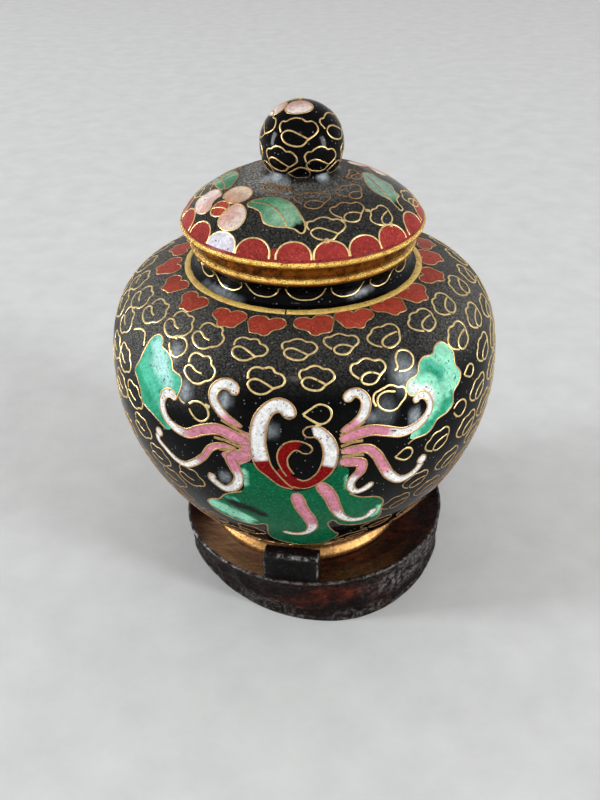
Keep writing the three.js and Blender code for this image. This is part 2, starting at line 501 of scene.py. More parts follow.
def speckNode(tree, coords, scale, size, share):
    cells = addNode(tree, "ShaderNodeTexVoronoi", {"Vector": coords}, Scale=scale)
    dot = rampNode(tree, cells.outputs["Distance"], [(size * 0.6, 1.0), (size, 0.0)])
    chance = addNode(tree, "ShaderNodeSeparateColor", {"Color": cells.outputs["Color"]}).outputs["Red"]
    chosen = rampNode(tree, chance, [(1.0 - share - 0.01, 0.0), (1.0 - share, 1.0)])
    return mixNode(tree, 1.0, dot, chosen, "MULTIPLY")


# black enamel: deep, finely speckled, with pinholes; the tint marks dust in red and painted highlights,
# pale reflections, in green
def blackEnamel():
    material, tree, shader = newMaterial("blackEnamel")
    coords = objectCoords(tree)
    depth = rampNode(tree, grainNode(tree, coords, 900.0, 4.0, 0.7),
                     [(0.3, paint("#020202")), (0.7, paint("#070708"))])
    haze = rampNode(tree, grainNode(tree, coords, 3800.0, 2.0, 0.5), [(0.62, 0.0), (0.8, 0.09)])
    hazed = mixNode(tree, haze, depth, paint("#6a6d76"))
    dots = speckNode(tree, coords, 1500.0, 0.24, 0.2)
    speckled = mixNode(tree, mixNode(tree, 0.5, (0.0, 0.0, 0.0), dots), hazed, paint("#8f9499"))
    marks = addNode(tree, "ShaderNodeSeparateColor", {"Color": tintNode(tree)})
    dustGrain = rampNode(tree, grainNode(tree, coords, 3000.0, 3.0, 0.75), [(0.44, 0.12), (0.62, 1.0)])
    dustFac = mixNode(tree, 1.0, dustGrain, marks.outputs["Red"], "MULTIPLY")
    dusty = mixNode(tree, dustFac, speckled, paint("#aaa69e"))
    # green paints pale highlights into the black: painted reflections of light
    highlightGrain = rampNode(tree, grainNode(tree, coords, 1700.0, 5.0, 0.75), [(0.3, 0.25), (0.58, 1.0)])
    paintedHighlightFac = mixNode(tree, 1.0, highlightGrain, marks.outputs["Green"], "MULTIPLY")
    tree.links.new(mixNode(tree, paintedHighlightFac, dusty, paint("#b4bcc2")), shader.inputs["Base Color"])
    pits = speckNode(tree, coords, 1500.0, 0.3, 0.35)
    rough = rampNode(tree, grainNode(tree, coords, 420.0, 4.0, 0.7), [(0.3, 0.06), (0.75, 0.18)])
    matt = rampNode(tree, marks.outputs["Red"], [(0.15, 0.0), (0.3, 1.0)])
    roughened = mixNode(tree, matt, mixNode(tree, dustFac, rough, (0.7, 0.7, 0.7)), (0.6, 0.6, 0.6))
    tree.links.new(roughened, shader.inputs["Roughness"])
    shader.inputs["Specular IOR Level"].default_value = 0.065
    smooth = bumpNode(tree, grainNode(tree, coords, 260.0, 2.0), 0.14, 0.0006)
    tree.links.new(bumpNode(tree, pits, -0.4, 0.00006, smooth), shader.inputs["Normal"])
    return material


# coloured enamel: the cell's own tint, mottled and grained, pale tints with dark pinholes
def colourEnamel(name, pitted):
    material, tree, shader = newMaterial(name)
    coords = objectCoords(tree)
    tint = tintNode(tree)
    lightness = addNode(tree, "ShaderNodeRGBToBW", {"Color": tint}).outputs["Val"]
    pale = rampNode(tree, lightness, [(0.1, 0.0), (0.5, 1.0)])
    mottle = rampNode(tree, grainNode(tree, coords, 1700.0, 5.0, 0.75),
                      [(0.28, 0.55), (0.5, 1.0), (0.74, 1.25)])
    mottled = mixNode(tree, 1.0, tint, mottle, "MULTIPLY")
    drift = rampNode(tree, grainNode(tree, coords, 330.0, 4.0, 0.65), [(0.35, 0.78), (0.65, 1.12)])
    drifted = mixNode(tree, 1.0, mottled, drift, "MULTIPLY")
    sparks = rampNode(tree, grainNode(tree, coords, 3000.0, 2.0, 0.5), [(0.56, 0.0), (0.7, 0.85)])
    stronger = mixNode(tree, 1.0, tint, (1.7, 1.7, 1.7), "MULTIPLY")
    lighter = mixNode(tree, 1.0, stronger, (0.03, 0.025, 0.02), "ADD")
    sparked = mixNode(tree, sparks, drifted, lighter)
    plain = mixNode(tree, pale, sparked, drifted)
    pits = rampNode(tree, grainNode(tree, coords, 1500.0, 3.0, 0.6), [(pitted, 0.0), (pitted + 0.07, 0.9)])
    pitFac = mixNode(tree, 1.0, pits, pale, "MULTIPLY")
    tree.links.new(mixNode(tree, pitFac, plain, paint("#2b2530")), shader.inputs["Base Color"])
    rough = rampNode(tree, grainNode(tree, coords, 500.0, 4.0, 0.7), [(0.3, 0.16), (0.75, 0.36)])
    tree.links.new(rough, shader.inputs["Roughness"])
    shader.inputs["Specular IOR Level"].default_value = 0.05
    smooth = bumpNode(tree, grainNode(tree, coords, 300.0, 2.0), 0.16, 0.0005)
    tree.links.new(bumpNode(tree, pitFac, -0.4, 0.00008, smooth), shader.inputs["Normal"])
    return material


def innerEnamel():
    material, tree, shader = newMaterial("innerEnamel")
    coords = objectCoords(tree)
    mottle = grainNode(tree, coords, 380.0, 5.0, 0.65)
    shades = [(0.3, paint("#1b6f86")), (0.52, paint("#2b93a6")), (0.75, paint("#6cbcc2"))]
    tree.links.new(rampNode(tree, mottle, shades), shader.inputs["Base Color"])
    tree.links.new(rampNode(tree, mottle, [(0.3, 0.16), (0.8, 0.38)]), shader.inputs["Roughness"])
    tree.links.new(bumpNode(tree, grainNode(tree, coords, 500.0), 0.2, 0.0003), shader.inputs["Normal"])
    return material


# gilding, grainy and bright on the wires and edges, rubbed at random between a bright and a worn tone; the
# lid's seat in the recess is painted copper brown as painted shade
giltLook = {
    "giltWire": {"bright": "#ffe09e", "worn": "#e6b76c", "share": 0.05, "rough": (0.3, 0.5), "depth": 0.2,
                 "aged": "#a3714c"},
    "giltBand": {"bright": "#ffd673", "worn": "#e0a54c", "share": 0.08, "rough": (0.24, 0.5), "depth": 0.9,
                 "grain": 3400.0, "metal": 0.4},
    "giltEdge": {"bright": "#fbcd6c", "worn": "#c48636", "share": 0.12, "rough": (0.18, 0.46), "depth": 0.9,
                 "grain": 3400.0, "aged": "#8a5418"},
    "giltFoot": {"bright": "#dda667", "worn": "#b0713c", "share": 0.06, "rough": (0.32, 0.52),
                 "depth": 0.45, "stretch": (1.0, 1.0, 0.2)},
    "giltInShade": {"bright": "#744012", "worn": "#381a07", "share": 0.18, "rough": (0.3, 0.55), "depth": 0.9,
                 "grain": 3400.0},
}


def giltMetal(name):
    look = giltLook[name]
    material, tree, shader = newMaterial(name)
    coords = objectCoords(tree)
    rubbing = [(0.62 - look["share"], 0.0), (0.78 - look["share"], 1.0)]
    rubbed = rampNode(tree, grainNode(tree, coords, 520.0, 5.0, 0.7), rubbing)
    gold = mixNode(tree, rubbed, paint(look["bright"]), paint(look["worn"]))
    # the tint draws the gilding toward its dark tone: painted shade under the bead, under the lid's rim and
    # low on the belly, and darker by the knob
    if "aged" in look:
        brightShare = addNode(tree, "ShaderNodeRGBToBW", {"Color": tintNode(tree)}).outputs["Val"]
        gold = mixNode(tree, brightShare, paint(look["aged"]), gold)
    pocks = speckNode(tree, coords, 2300.0, 0.45, 0.12)
    pocked = mixNode(tree, mixNode(tree, 0.35, pocks, (0.0, 0.0, 0.0)), gold, paint("#5d3a1c"))
    brushed = grainNode(tree, objectCoords(tree, look.get("stretch")), look.get("grain", 1500.0), 5.0, 0.75)
    grained = rampNode(tree, brushed, [(0.34, 0.6), (0.6, 1.1)])
    tree.links.new(mixNode(tree, 1.0, pocked, grained, "MULTIPLY"), shader.inputs["Base Color"])
    shader.inputs["Metallic"].default_value = look.get("metal", 1.0)
    roughLow, roughHigh = look["rough"]
    rough = rampNode(tree, brushed, [(0.3, roughLow), (0.75, roughHigh)])
    tree.links.new(rough, shader.inputs["Roughness"])
    tree.links.new(bumpNode(tree, brushed, look["depth"], 0.00025), shader.inputs["Normal"])
    return material


# dark lacquered hardwood; red marks where the lacquer is rubbed and the dish's painted sheen, green the
# polish and the painted sheen, blue the scuffs and the rim's painted highlights
def darkWood():
    material, tree, shader = newMaterial("darkWood")
    coords = objectCoords(tree)
    marks = addNode(tree, "ShaderNodeSeparateColor", {"Color": tintNode(tree)})
    wearAndSheen, polishAndSheen, scuffAndHighlight = (marks.outputs[name] for name in ("Red", "Green", "Blue"))
    grain = grainNode(tree, objectCoords(tree, (0.2, 1.0, 1.0)), 1100.0, 6.0, 0.65)
    lacquer = rampNode(tree, grain,
                       [(0.3, paint("#040303")), (0.6, paint("#0b0807")), (0.8, paint("#1b100d"))])
    bare = rampNode(tree, grain,
                    [(0.3, paint("#1c0c08")), (0.55, paint("#5a2012")), (0.8, paint("#8a4022"))])
    blotch = rampNode(tree, grainNode(tree, coords, 330.0, 5.0, 0.7), [(0.4, 0.1), (0.62, 1.0)])
    rubbed = mixNode(tree, mixNode(tree, 1.0, blotch, wearAndSheen, "MULTIPLY"), lacquer, bare)
    # pale flecks on the side are painted glints of light on the rough lacquer
    flecks = rampNode(tree, grainNode(tree, objectCoords(tree, (0.6, 0.6, 1.0)), 1900.0, 3.0, 0.7),
                      [(0.62, 0.0), (0.76, 0.38)])
    glinted = mixNode(tree, mixNode(tree, polishAndSheen, flecks, (0.0, 0.0, 0.0)), rubbed, paint("#85807c"))
    ragged = rampNode(tree, grainNode(tree, coords, 800.0, 5.0, 0.8), [(0.47, 0.0), (0.6, 1.0)])
    scuffed = mixNode(tree, mixNode(tree, 1.0, ragged, scuffAndHighlight, "MULTIPLY"), glinted, paint("#a09a95"))
    streaks = rampNode(tree, grain, [(0.34, 0.35), (0.62, 1.0)])
    # the tan mix is a painted sheen, light reflected from the dish
    paintedSheen = mixNode(tree, 1.0, rampNode(tree, polishAndSheen, [(0.45, 0.0), (0.9, 0.8)]), streaks, "MULTIPLY")
    tree.links.new(mixNode(tree, paintedSheen, scuffed, paint("#b8977c")), shader.inputs["Base Color"])
    rough = rampNode(tree, grainNode(tree, coords, 700.0, 5.0, 0.7), [(0.3, 0.2), (0.75, 0.5)])
    tree.links.new(mixNode(tree, polishAndSheen, rough, (0.2, 0.2, 0.2)), shader.inputs["Roughness"])
    shader.inputs["Specular IOR Level"].default_value = 0.08
    carved = mixNode(tree, polishAndSheen, grainNode(tree, coords, 1300.0, 6.0, 0.8), (0.5, 0.5, 0.5))
    rugged = bumpNode(tree, carved, 0.85, 0.0006)
    tree.links.new(bumpNode(tree, grain, 0.16, 0.00012, rugged), shader.inputs["Normal"])
    tree.links.new(mixNode(tree, polishAndSheen, (0.0, 0.0, 0.0), (0.6, 0.6, 0.6)), shader.inputs["Coat Weight"])
    shader.inputs["Coat Roughness"].default_value = 0.22
    return material


def paleFloor():
    material, tree, shader = newMaterial("paleFloor")
    coords = objectCoords(tree)
    fibre = grainNode(tree, coords, 90.0, 5.0, 0.6)
    shades = [(0.3, paint("#d3d3d1")), (0.7, paint("#dddddb"))]
    tree.links.new(rampNode(tree, fibre, shades), shader.inputs["Base Color"])
    shader.inputs["Roughness"].default_value = 0.9
    shader.inputs["Specular IOR Level"].default_value = 0.0
    tree.links.new(bumpNode(tree, grainNode(tree, coords, 900.0), 0.08, 0.0004), shader.inputs["Normal"])
    return material


blackFinish = blackEnamel()
colourFinish = colourEnamel("colourEnamel", 0.6)
lidFinish = colourEnamel("lidEnamel", 0.64)
innerFinish = innerEnamel()
wireFinish = giltMetal("giltWire")
bandFinish = giltMetal("giltBand")
edgeFinish = giltMetal("giltEdge")
footFinish = giltMetal("giltFoot")
seatShadeFinish = giltMetal("giltInShade")
woodFinish = darkWood()
print("finishes mixed")

# the jar's body: outer line from foot to lip, a little lower at the shoulder than the solid model
potShape = {
    "sides": 240,
    "sharp": 35.0,
    "chart": 36.0,
    "foot": (20.6, 13.4),
    "flare": (28.0, 18.5),
    "belowWidest": (38.85, 33.6),
    "widest": (38.85, 48.6),
    "aboveWidest": (38.85, 62.9),
    "shoulderTurn": (34.7, 68.3),
    "shoulder": (22.7, 69.58),
    "neck": ((21.75, 69.78), (20.75, 70.4), (20.15, 72.0), (21.1, 74.0)),
    "wall": 1.6,
    "underside": 11.7,
    "undersideRadius": 18.6,
    "floor": 13.6,
    "floorRadius": 18.5,
    "mouthRadius": 18.6,
    "mouthDepth": 68.8,
}
lowerHalf = [potShape[key] for key in ("foot", "flare", "belowWidest", "widest")]
upperHalf = [potShape[key] for key in ("widest", "aboveWidest", "shoulderTurn", "shoulder")]
bellyLine = np.vstack([bezierLine(*lowerHalf, 64)[:-1], bezierLine(*upperHalf, 64)])
neckLine = smoothLine(potShape["neck"], 0.25)
potOuter = makeSurface(np.vstack([bellyLine, neckLine]), potShape["chart"])
belly = makeSurface(bellyLine, potShape["chart"])


def setBack(line, wall):
    slope = np.gradient(line, axis=0)
    slope /= np.linalg.norm(slope, axis=1)[:, None]
    return line + np.stack([-slope[:, 1], slope[:, 0]], axis=1) * wall


# painted highlights, pale reflections painted into the black, by pixel, reach in millimetres and strength
potPaintedHighlights = [(271.5, 431, 1.3, 0.42), (224.5, 400.5, 1.4, 0.75), (225, 477, 1.3, 0.5),
             (184.5, 391, 1.8, 0.75), (175, 353, 2.0, 0.55), (404, 373, 3.4, 0.45), (386, 411, 2.6, 0.2),
             (415, 417, 1.6, 0.7), (372.5, 417, 1.1, 0.45), (342, 462, 1.1, 0.35), (206, 283.5, 1.7, 0.2),
             (212, 288, 1.7, 0.33), (217, 290.6, 1.7, 0.45), (222, 293.3, 1.7, 0.5),
             (227, 295.8, 1.7, 0.42), (232, 298, 1.7, 0.3), (238, 300.5, 1.7, 0.16),
             (352, 295.5, 1.6, 0.24), (358, 293.5, 1.6, 0.42), (364, 291, 1.6, 0.42), (370, 288, 1.6, 0.22)]
# dust on the shoulder: strength, the way across it gathers (where it does), and the way upward
potDust = [(0.17, None, (60.5, 67.0)), (0.34, (-9.0, -27.0), (54.0, 62.0)),
           (0.28, (17.0, 30.0), (58.0, 66.0))]


def makePot():
    inner = setBack(bellyLine, potShape["wall"])[::-1]
    clear = (inner[:, 1] > potShape["floor"] + 1.2) & (inner[:, 0] > potShape["mouthRadius"] + 0.4)
    inner = inner[clear][::2]
    outer = [(0.0, potShape["underside"]), (potShape["undersideRadius"], potShape["underside"])]
    outer += [tuple(p) for p in np.vstack([bellyLine, neckLine])]
    inside = [(potShape["mouthRadius"], potShape["neck"][-1][1]),
              (potShape["mouthRadius"], potShape["mouthDepth"])]
    inside += [tuple(p) for p in inner]
    inside += [(potShape["floorRadius"], potShape["floor"]), (0.0, potShape["floor"])]
    tray = newTray()
    addTurned(tray, outer + inside, potShape["sides"])
    spots = np.vstack(tray["verts"])
    tints = np.zeros((len(spots), 3))
    onBelly = spots[:, 2] < potShape["shoulder"][1] + 0.1
    for strength, across, upward in potDust:
        gathered = strength * smoothStep(*across, spots[:, 0]) if across else strength
        tints[:, 0] += gathered * smoothStep(*upward, spots[:, 2])
    tints[:, 0] *= onBelly
    for px, py, reach, strength in potPaintedHighlights:
        middle = place(potOuter, castPixels(potOuter, [(px, py)]))[0]
        # each painted highlight stands upright on the belly and lies along the neck
        tall = 0.6 if middle[2] < potShape["shoulder"][1] else 1.6
        gap = np.linalg.norm((spots - middle) * (1.0, 1.0, tall), axis=1)
        tints[:, 1] = np.maximum(tints[:, 1], strength * smoothStep(reach, reach * 0.25, gap))
    tray["tints"] = [tints]
    body = trayToPiece("potBody", tray, blackFinish, potShape["sharp"])
    body.data.materials.append(innerFinish)
    insideStart = len(outer) * potShape["sides"]
    for face in body.data.polygons:
        if min(face.vertices) >= insideStart - potShape["sides"]:
            face.material_index = 1
    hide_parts("pot")


makePot()

# gilt turned edges: foot ring, beaded lip with the lid's seat
giltRings = {
    "foot": [(19.2, 9.5), (21.3, 9.5), (21.6, 9.8), (21.65, 10.6), (21.3, 11.4), (20.9, 12.4),
             (20.95, 13.3), (20.75, 13.75), (19.6, 13.6), (18.7, 12.0)],
    "bead": [(18.64, 73.75), (20.6, 73.78), (21.17, 73.92), (21.54, 74.26), (21.64, 74.7), (21.5, 75.08),
             (21.05, 75.34), (20.5, 75.4), (18.64, 75.34)],
    "seat": [(18.6, 75.3), (20.3, 75.3), (20.2, 76.2), (20.25, 77.2), (20.45, 77.8), (20.2, 77.98),
             (18.8, 77.98), (18.6, 77.8)],
    "sides": 200,
    "step": 0.18,
    "sharp": 60.0,
    # the bead is painted brown below this height, painted shade on its underside
    "beadShadeTo": 74.8,
    "fade": (-0.5, 0.25),  # from brown to bright, about the height given
}


def makeRing(name, profile, finish, shadeTo=None):
    tray = newTray()
    rounded = smoothLine(profile, giltRings["step"], closed=True)
    addTurned(tray, rounded, giltRings["sides"], ring=True)
    # painted shade: the gilding is drawn brown below the height given, bright above
    if shadeTo:
        low, high = giltRings["fade"]
        brightShare = smoothStep(shadeTo + low, shadeTo + high, np.vstack(tray["verts"])[:, 2])
        tray["tints"] = [np.stack([brightShare] * 3, axis=1)]
    trayToPiece(name, tray, finish, giltRings["sharp"])


makeRing("footRing", giltRings["foot"], footFinish)
makeRing("lipBead", giltRings["bead"], edgeFinish, giltRings["beadShadeTo"])
# the seat in the recess under the lid's rim is gilt painted dark brown, painted shade
makeRing("lidSeat", giltRings["seat"], seatShadeFinish)
print("jar turned")

# the lid: dome and ball knob, gilt rim and flange
lidShape = {
    "sides": 200,
    "sharp": 50.0,
    "chart": 17.0,
    "edge": (22.84, 78.95),
    "rise": (21.3, 82.5),
    "crown": (14.8, 85.9),
    "knobFoot": (8.6, 87.0),
    "wall": 1.5,
    "hollowTop": 85.2,
    "ballRadius": 7.67,
    "ballHeight": 92.2,
    "ballWaist": 6.45,
    "filletFrom": 11.4,
    "filletHandles": ((9.2, 86.95), (6.7, 86.95)),
    "hollowRadius": 21.0,
    "underEdge": (21.5, 78.9),
    # the rim is painted brown below this height, painted shade on its underside
    "rimShadeTo": 78.35,
    "rim": [(17.2, 79.3), (17.2, 74.4), (18.2, 74.4), (18.2, 77.9), (18.5, 78.02), (21.8, 77.9),
            (22.5, 77.92), (22.98, 78.12), (23.14, 78.5), (23.08, 78.86), (22.88, 79.07), (22.5, 79.1),
            (21.2, 78.9)],
}
domeLine = bezierLine(lidShape["edge"], lidShape["rise"], lidShape["crown"], lidShape["knobFoot"], 48)
waistLean = math.acos(lidShape["ballWaist"] / lidShape["ballRadius"])
ballTurn = np.linspace(-waistLean, math.pi / 2, 50)
ballLine = np.stack([
    lidShape["ballRadius"] * np.cos(ballTurn),
    lidShape["ballHeight"] + lidShape["ballRadius"] * np.sin(ballTurn),
], axis=1)
dome = makeSurface(domeLine, lidShape["chart"])
ball = makeSurface(ballLine[:-1], lidShape["ballRadius"])
ballTop = makeCap(lidShape["ballRadius"], lidShape["ballHeight"])

# dust in the hollow round the ball's foot, thicker on the left, thinning outward
lidDust = {
    "spread": (15.0, 8.5),
    "patchy": 3.0,
    "above": 83.0,
    "ballFade": (88.8, 87.8),
    "leftTo": -2.0,
    "sides": (0.95, 0.45),
    "frontTo": -3.0,
    "frontStart": (6.2, 8.2),
    "backStart": (6.6, 8.0),
    "outer": (10.0, 0.14),
}
# painted highlights, pale reflections painted on the fillet round the ball's foot: angle, distance from the
# axis, reach and strength
lidPaintedHighlights = [(-134, 6.5, 1.9, 0.85), (-146, 7.6, 1.9, 0.5), (-56, 6.3, 1.7, 0.8), (-118, 7.4, 1.6, 0.35)]


def makeLid():
    under = setBack(domeLine, lidShape["wall"])[::-1]
    under = under[(under[:, 0] < lidShape["hollowRadius"]) & (under[:, 1] < lidShape["hollowTop"])][::2]
    spread = domeLine[domeLine[:, 0] > lidShape["filletFrom"]]
    waistFillet = bezierLine(spread[-1], *lidShape["filletHandles"], ballLine[0], 14)
    outer = [tuple(p) for p in np.vstack([spread, waistFillet[1:], ballLine[1:-1]])]
    profile = [(0.0, lidShape["hollowTop"])] + [tuple(p) for p in under] + [lidShape["underEdge"]] + outer
    profile.append((0.0, lidShape["ballHeight"] + lidShape["ballRadius"]))
    tray = newTray()
    addTurned(tray, profile, lidShape["sides"])
    spots = np.vstack(tray["verts"])
    reach = np.hypot(spots[:, 0], spots[:, 1])
    patchy = np.array([noise.noise((x * 0.12, y * 0.12, 2.0)) for x, y, _ in spots])
    onDome = (spots[:, 2] > lidDust["above"]) * smoothStep(*lidDust["ballFade"], spots[:, 2])
    dust = smoothStep(*lidDust["spread"], reach + lidDust["patchy"] * patchy) * onDome
    front, back = (smoothStep(*lidDust[key], reach) for key in ("frontStart", "backStart"))
    dust *= np.where(spots[:, 0] < lidDust["leftTo"], *lidDust["sides"])
    dust *= np.where(spots[:, 1] < lidDust["frontTo"], front, back)
    # painted highlights on the fillet round the ball's foot
    paintedHighlights = np.zeros(len(spots))
    for angle, far, wide, strength in lidPaintedHighlights:
        turn = math.radians(angle)
        gap = np.hypot(spots[:, 0] - far * math.cos(turn), spots[:, 1] - far * math.sin(turn))
        nearFoot = np.abs(spots[:, 2] - lidShape["knobFoot"][1]) < 1.6
        paintedHighlights = np.maximum(paintedHighlights, strength * smoothStep(wide, wide * 0.25, gap) * nearFoot)
    outerFrom, outerDust = lidDust["outer"]
    marks = (dust + outerDust * (reach > outerFrom), paintedHighlights, np.zeros(len(spots)))
    tray["tints"] = [np.stack(marks, axis=1)]
    body = trayToPiece("lidBody", tray, blackFinish, lidShape["sharp"])
    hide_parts("lid")


makeLid()
makeRing("lidRim", lidShape["rim"], edgeFinish, lidShape["rimShadeTo"])
print("lid turned")

# the brushed band where the shoulder meets the neck, with its open joint
bandLook = {"joint": -8.0, "gap": 0.24, "width": 1.2, "proud": 0.2, "height": 69.64}


def makeBand():
    along = alongAt(potOuter, bandLook["height"])
    start = math.radians(bandLook["joint"]) * potOuter["chart"] + bandLook["gap"]
    run = np.linspace(start, start + 2 * math.pi * potOuter["chart"] - 2 * bandLook["gap"], 300)
    line = np.stack([run, np.full(len(run), along)], axis=1)
    tray = newTray()
    addWire(tray, potOuter, line, bandLook["width"], proud=bandLook["proud"])
    trayToPiece("shoulderBand", tray, bandFinish, 50.0)


makeBand()

# the ornament's trays, filled below and made into pieces at the end
heartCells, heartWires = newTray(), newTray()
cloudWiresHigh, cloudWiresLow = newTray(), newTray()
flowerCells, flowerWires = newTray(), newTray()
lidCells, lidWires = newTray(), newTray()
neckWires = newTray()
taken = []  # outlines on the belly that clouds keep off
# ground between the petals that stays bare, by pixel
bareGround = [[(172, 432), (190, 439), (210, 438), (214, 446), (203, 455), (192, 461), (182, 461),
               (172, 453), (164, 443)],
              [(370, 440), (405, 438), (418, 445), (414, 470), (396, 472), (386, 458)]]

# scallops hung round the neck
scallopLook = {"count": 17, "phase": 0.9, "width": 6.7, "top": 73.2, "bottom": 70.95, "wire": 0.23}


def drawScallops():
    high, low = alongAt(potOuter, scallopLook["top"]), alongAt(potOuter, scallopLook["bottom"])
    for i in range(scallopLook["count"]):
        angle = scallopLook["phase"] + 360.0 / scallopLook["count"] * i + rng.uniform(-1.0, 1.0)
        half = scallopLook["width"] / 2 * rng.uniform(0.92, 1.06)
        drop = (high - low) * rng.uniform(0.9, 1.05)
        shape = [(-half, 0.0), (-half * 0.86, -drop * 0.55), (-half * 0.45, -drop * 0.93), (0.0, -drop)]
        shape += [(half * 0.45, -drop * 0.93), (half * 0.86, -drop * 0.55), (half, 0.0)]
        line = moveMotif(potOuter, smoothLine(shape, wireLook["step"]), angle, high, 1.0)
        addWire(neckWires, potOuter, line, scallopLook["wire"])


drawScallops()

# the ring of hearts below the band
heartShape = [(0.04, 0.25), (-0.055, 0.35), (-0.22, 0.375), (-0.39, 0.3), (-0.486, 0.15), (-0.45, 0.0),
              (-0.385, -0.16), (-0.347, -0.275), (-0.222, -0.31), (-0.111, -0.3), (0.028, -0.355),
              (0.139, -0.3), (0.185, -0.2), (0.29, -0.12), (0.4, -0.075), (0.486, 0.03), (0.486, 0.165),
              (0.417, 0.28), (0.278, 0.338), (0.139, 0.32)]
# the hearts that the photograph shows, from left to right; the rest are spaced evenly round the back
frontHearts = [(180.1, 248.9), (168.3, 266.2), (173.4, 284.4), (191.2, 301.8), (227.4, 318), (265.4, 325.7),
               (315, 325.3), (355.6, 318.6), (389.9, 306.8), (415.6, 293.5), (432.4, 276), (431.2, 257.5)]
heartLook = {"count": 21, "size": 6.9, "lift": 0.03, "wire": 0.23}


def drawHearts():
    outline = smoothLine(heartShape, 0.055, closed=True)
    seen = castPixels(belly, frontHearts)
    spots = [(degreesAt(belly, x), along) for x, along in seen]
    rest = heartLook["count"] - len(spots)
    gap = (spots[0][0] + 360.0 - spots[-1][0]) / (rest + 1)
    middle = float(np.median(seen[:, 1]))
    spots += [(spots[-1][0] + gap * (k + 1), middle + rng.uniform(-0.3, 0.3)) for k in range(rest)]
    for angle, along in spots:
        size = heartLook["size"] * rng.uniform(0.95, 1.05)
        flat = moveMotif(belly, outline, angle, along, size, rng.uniform(-8.0, 8.0),
                         mirror=rng.random() < 0.5)
        shade = enamelPaint["brick"] * rng.uniform(0.88, 1.1)
        addCell(heartCells, belly, flat, heartLook["lift"], lambda p, shade=shade: shade)
        addWire(heartWires, belly, flat, heartLook["wire"], closed=True)
        taken.append(flat)


drawHearts()
print("hearts and scallops laid")

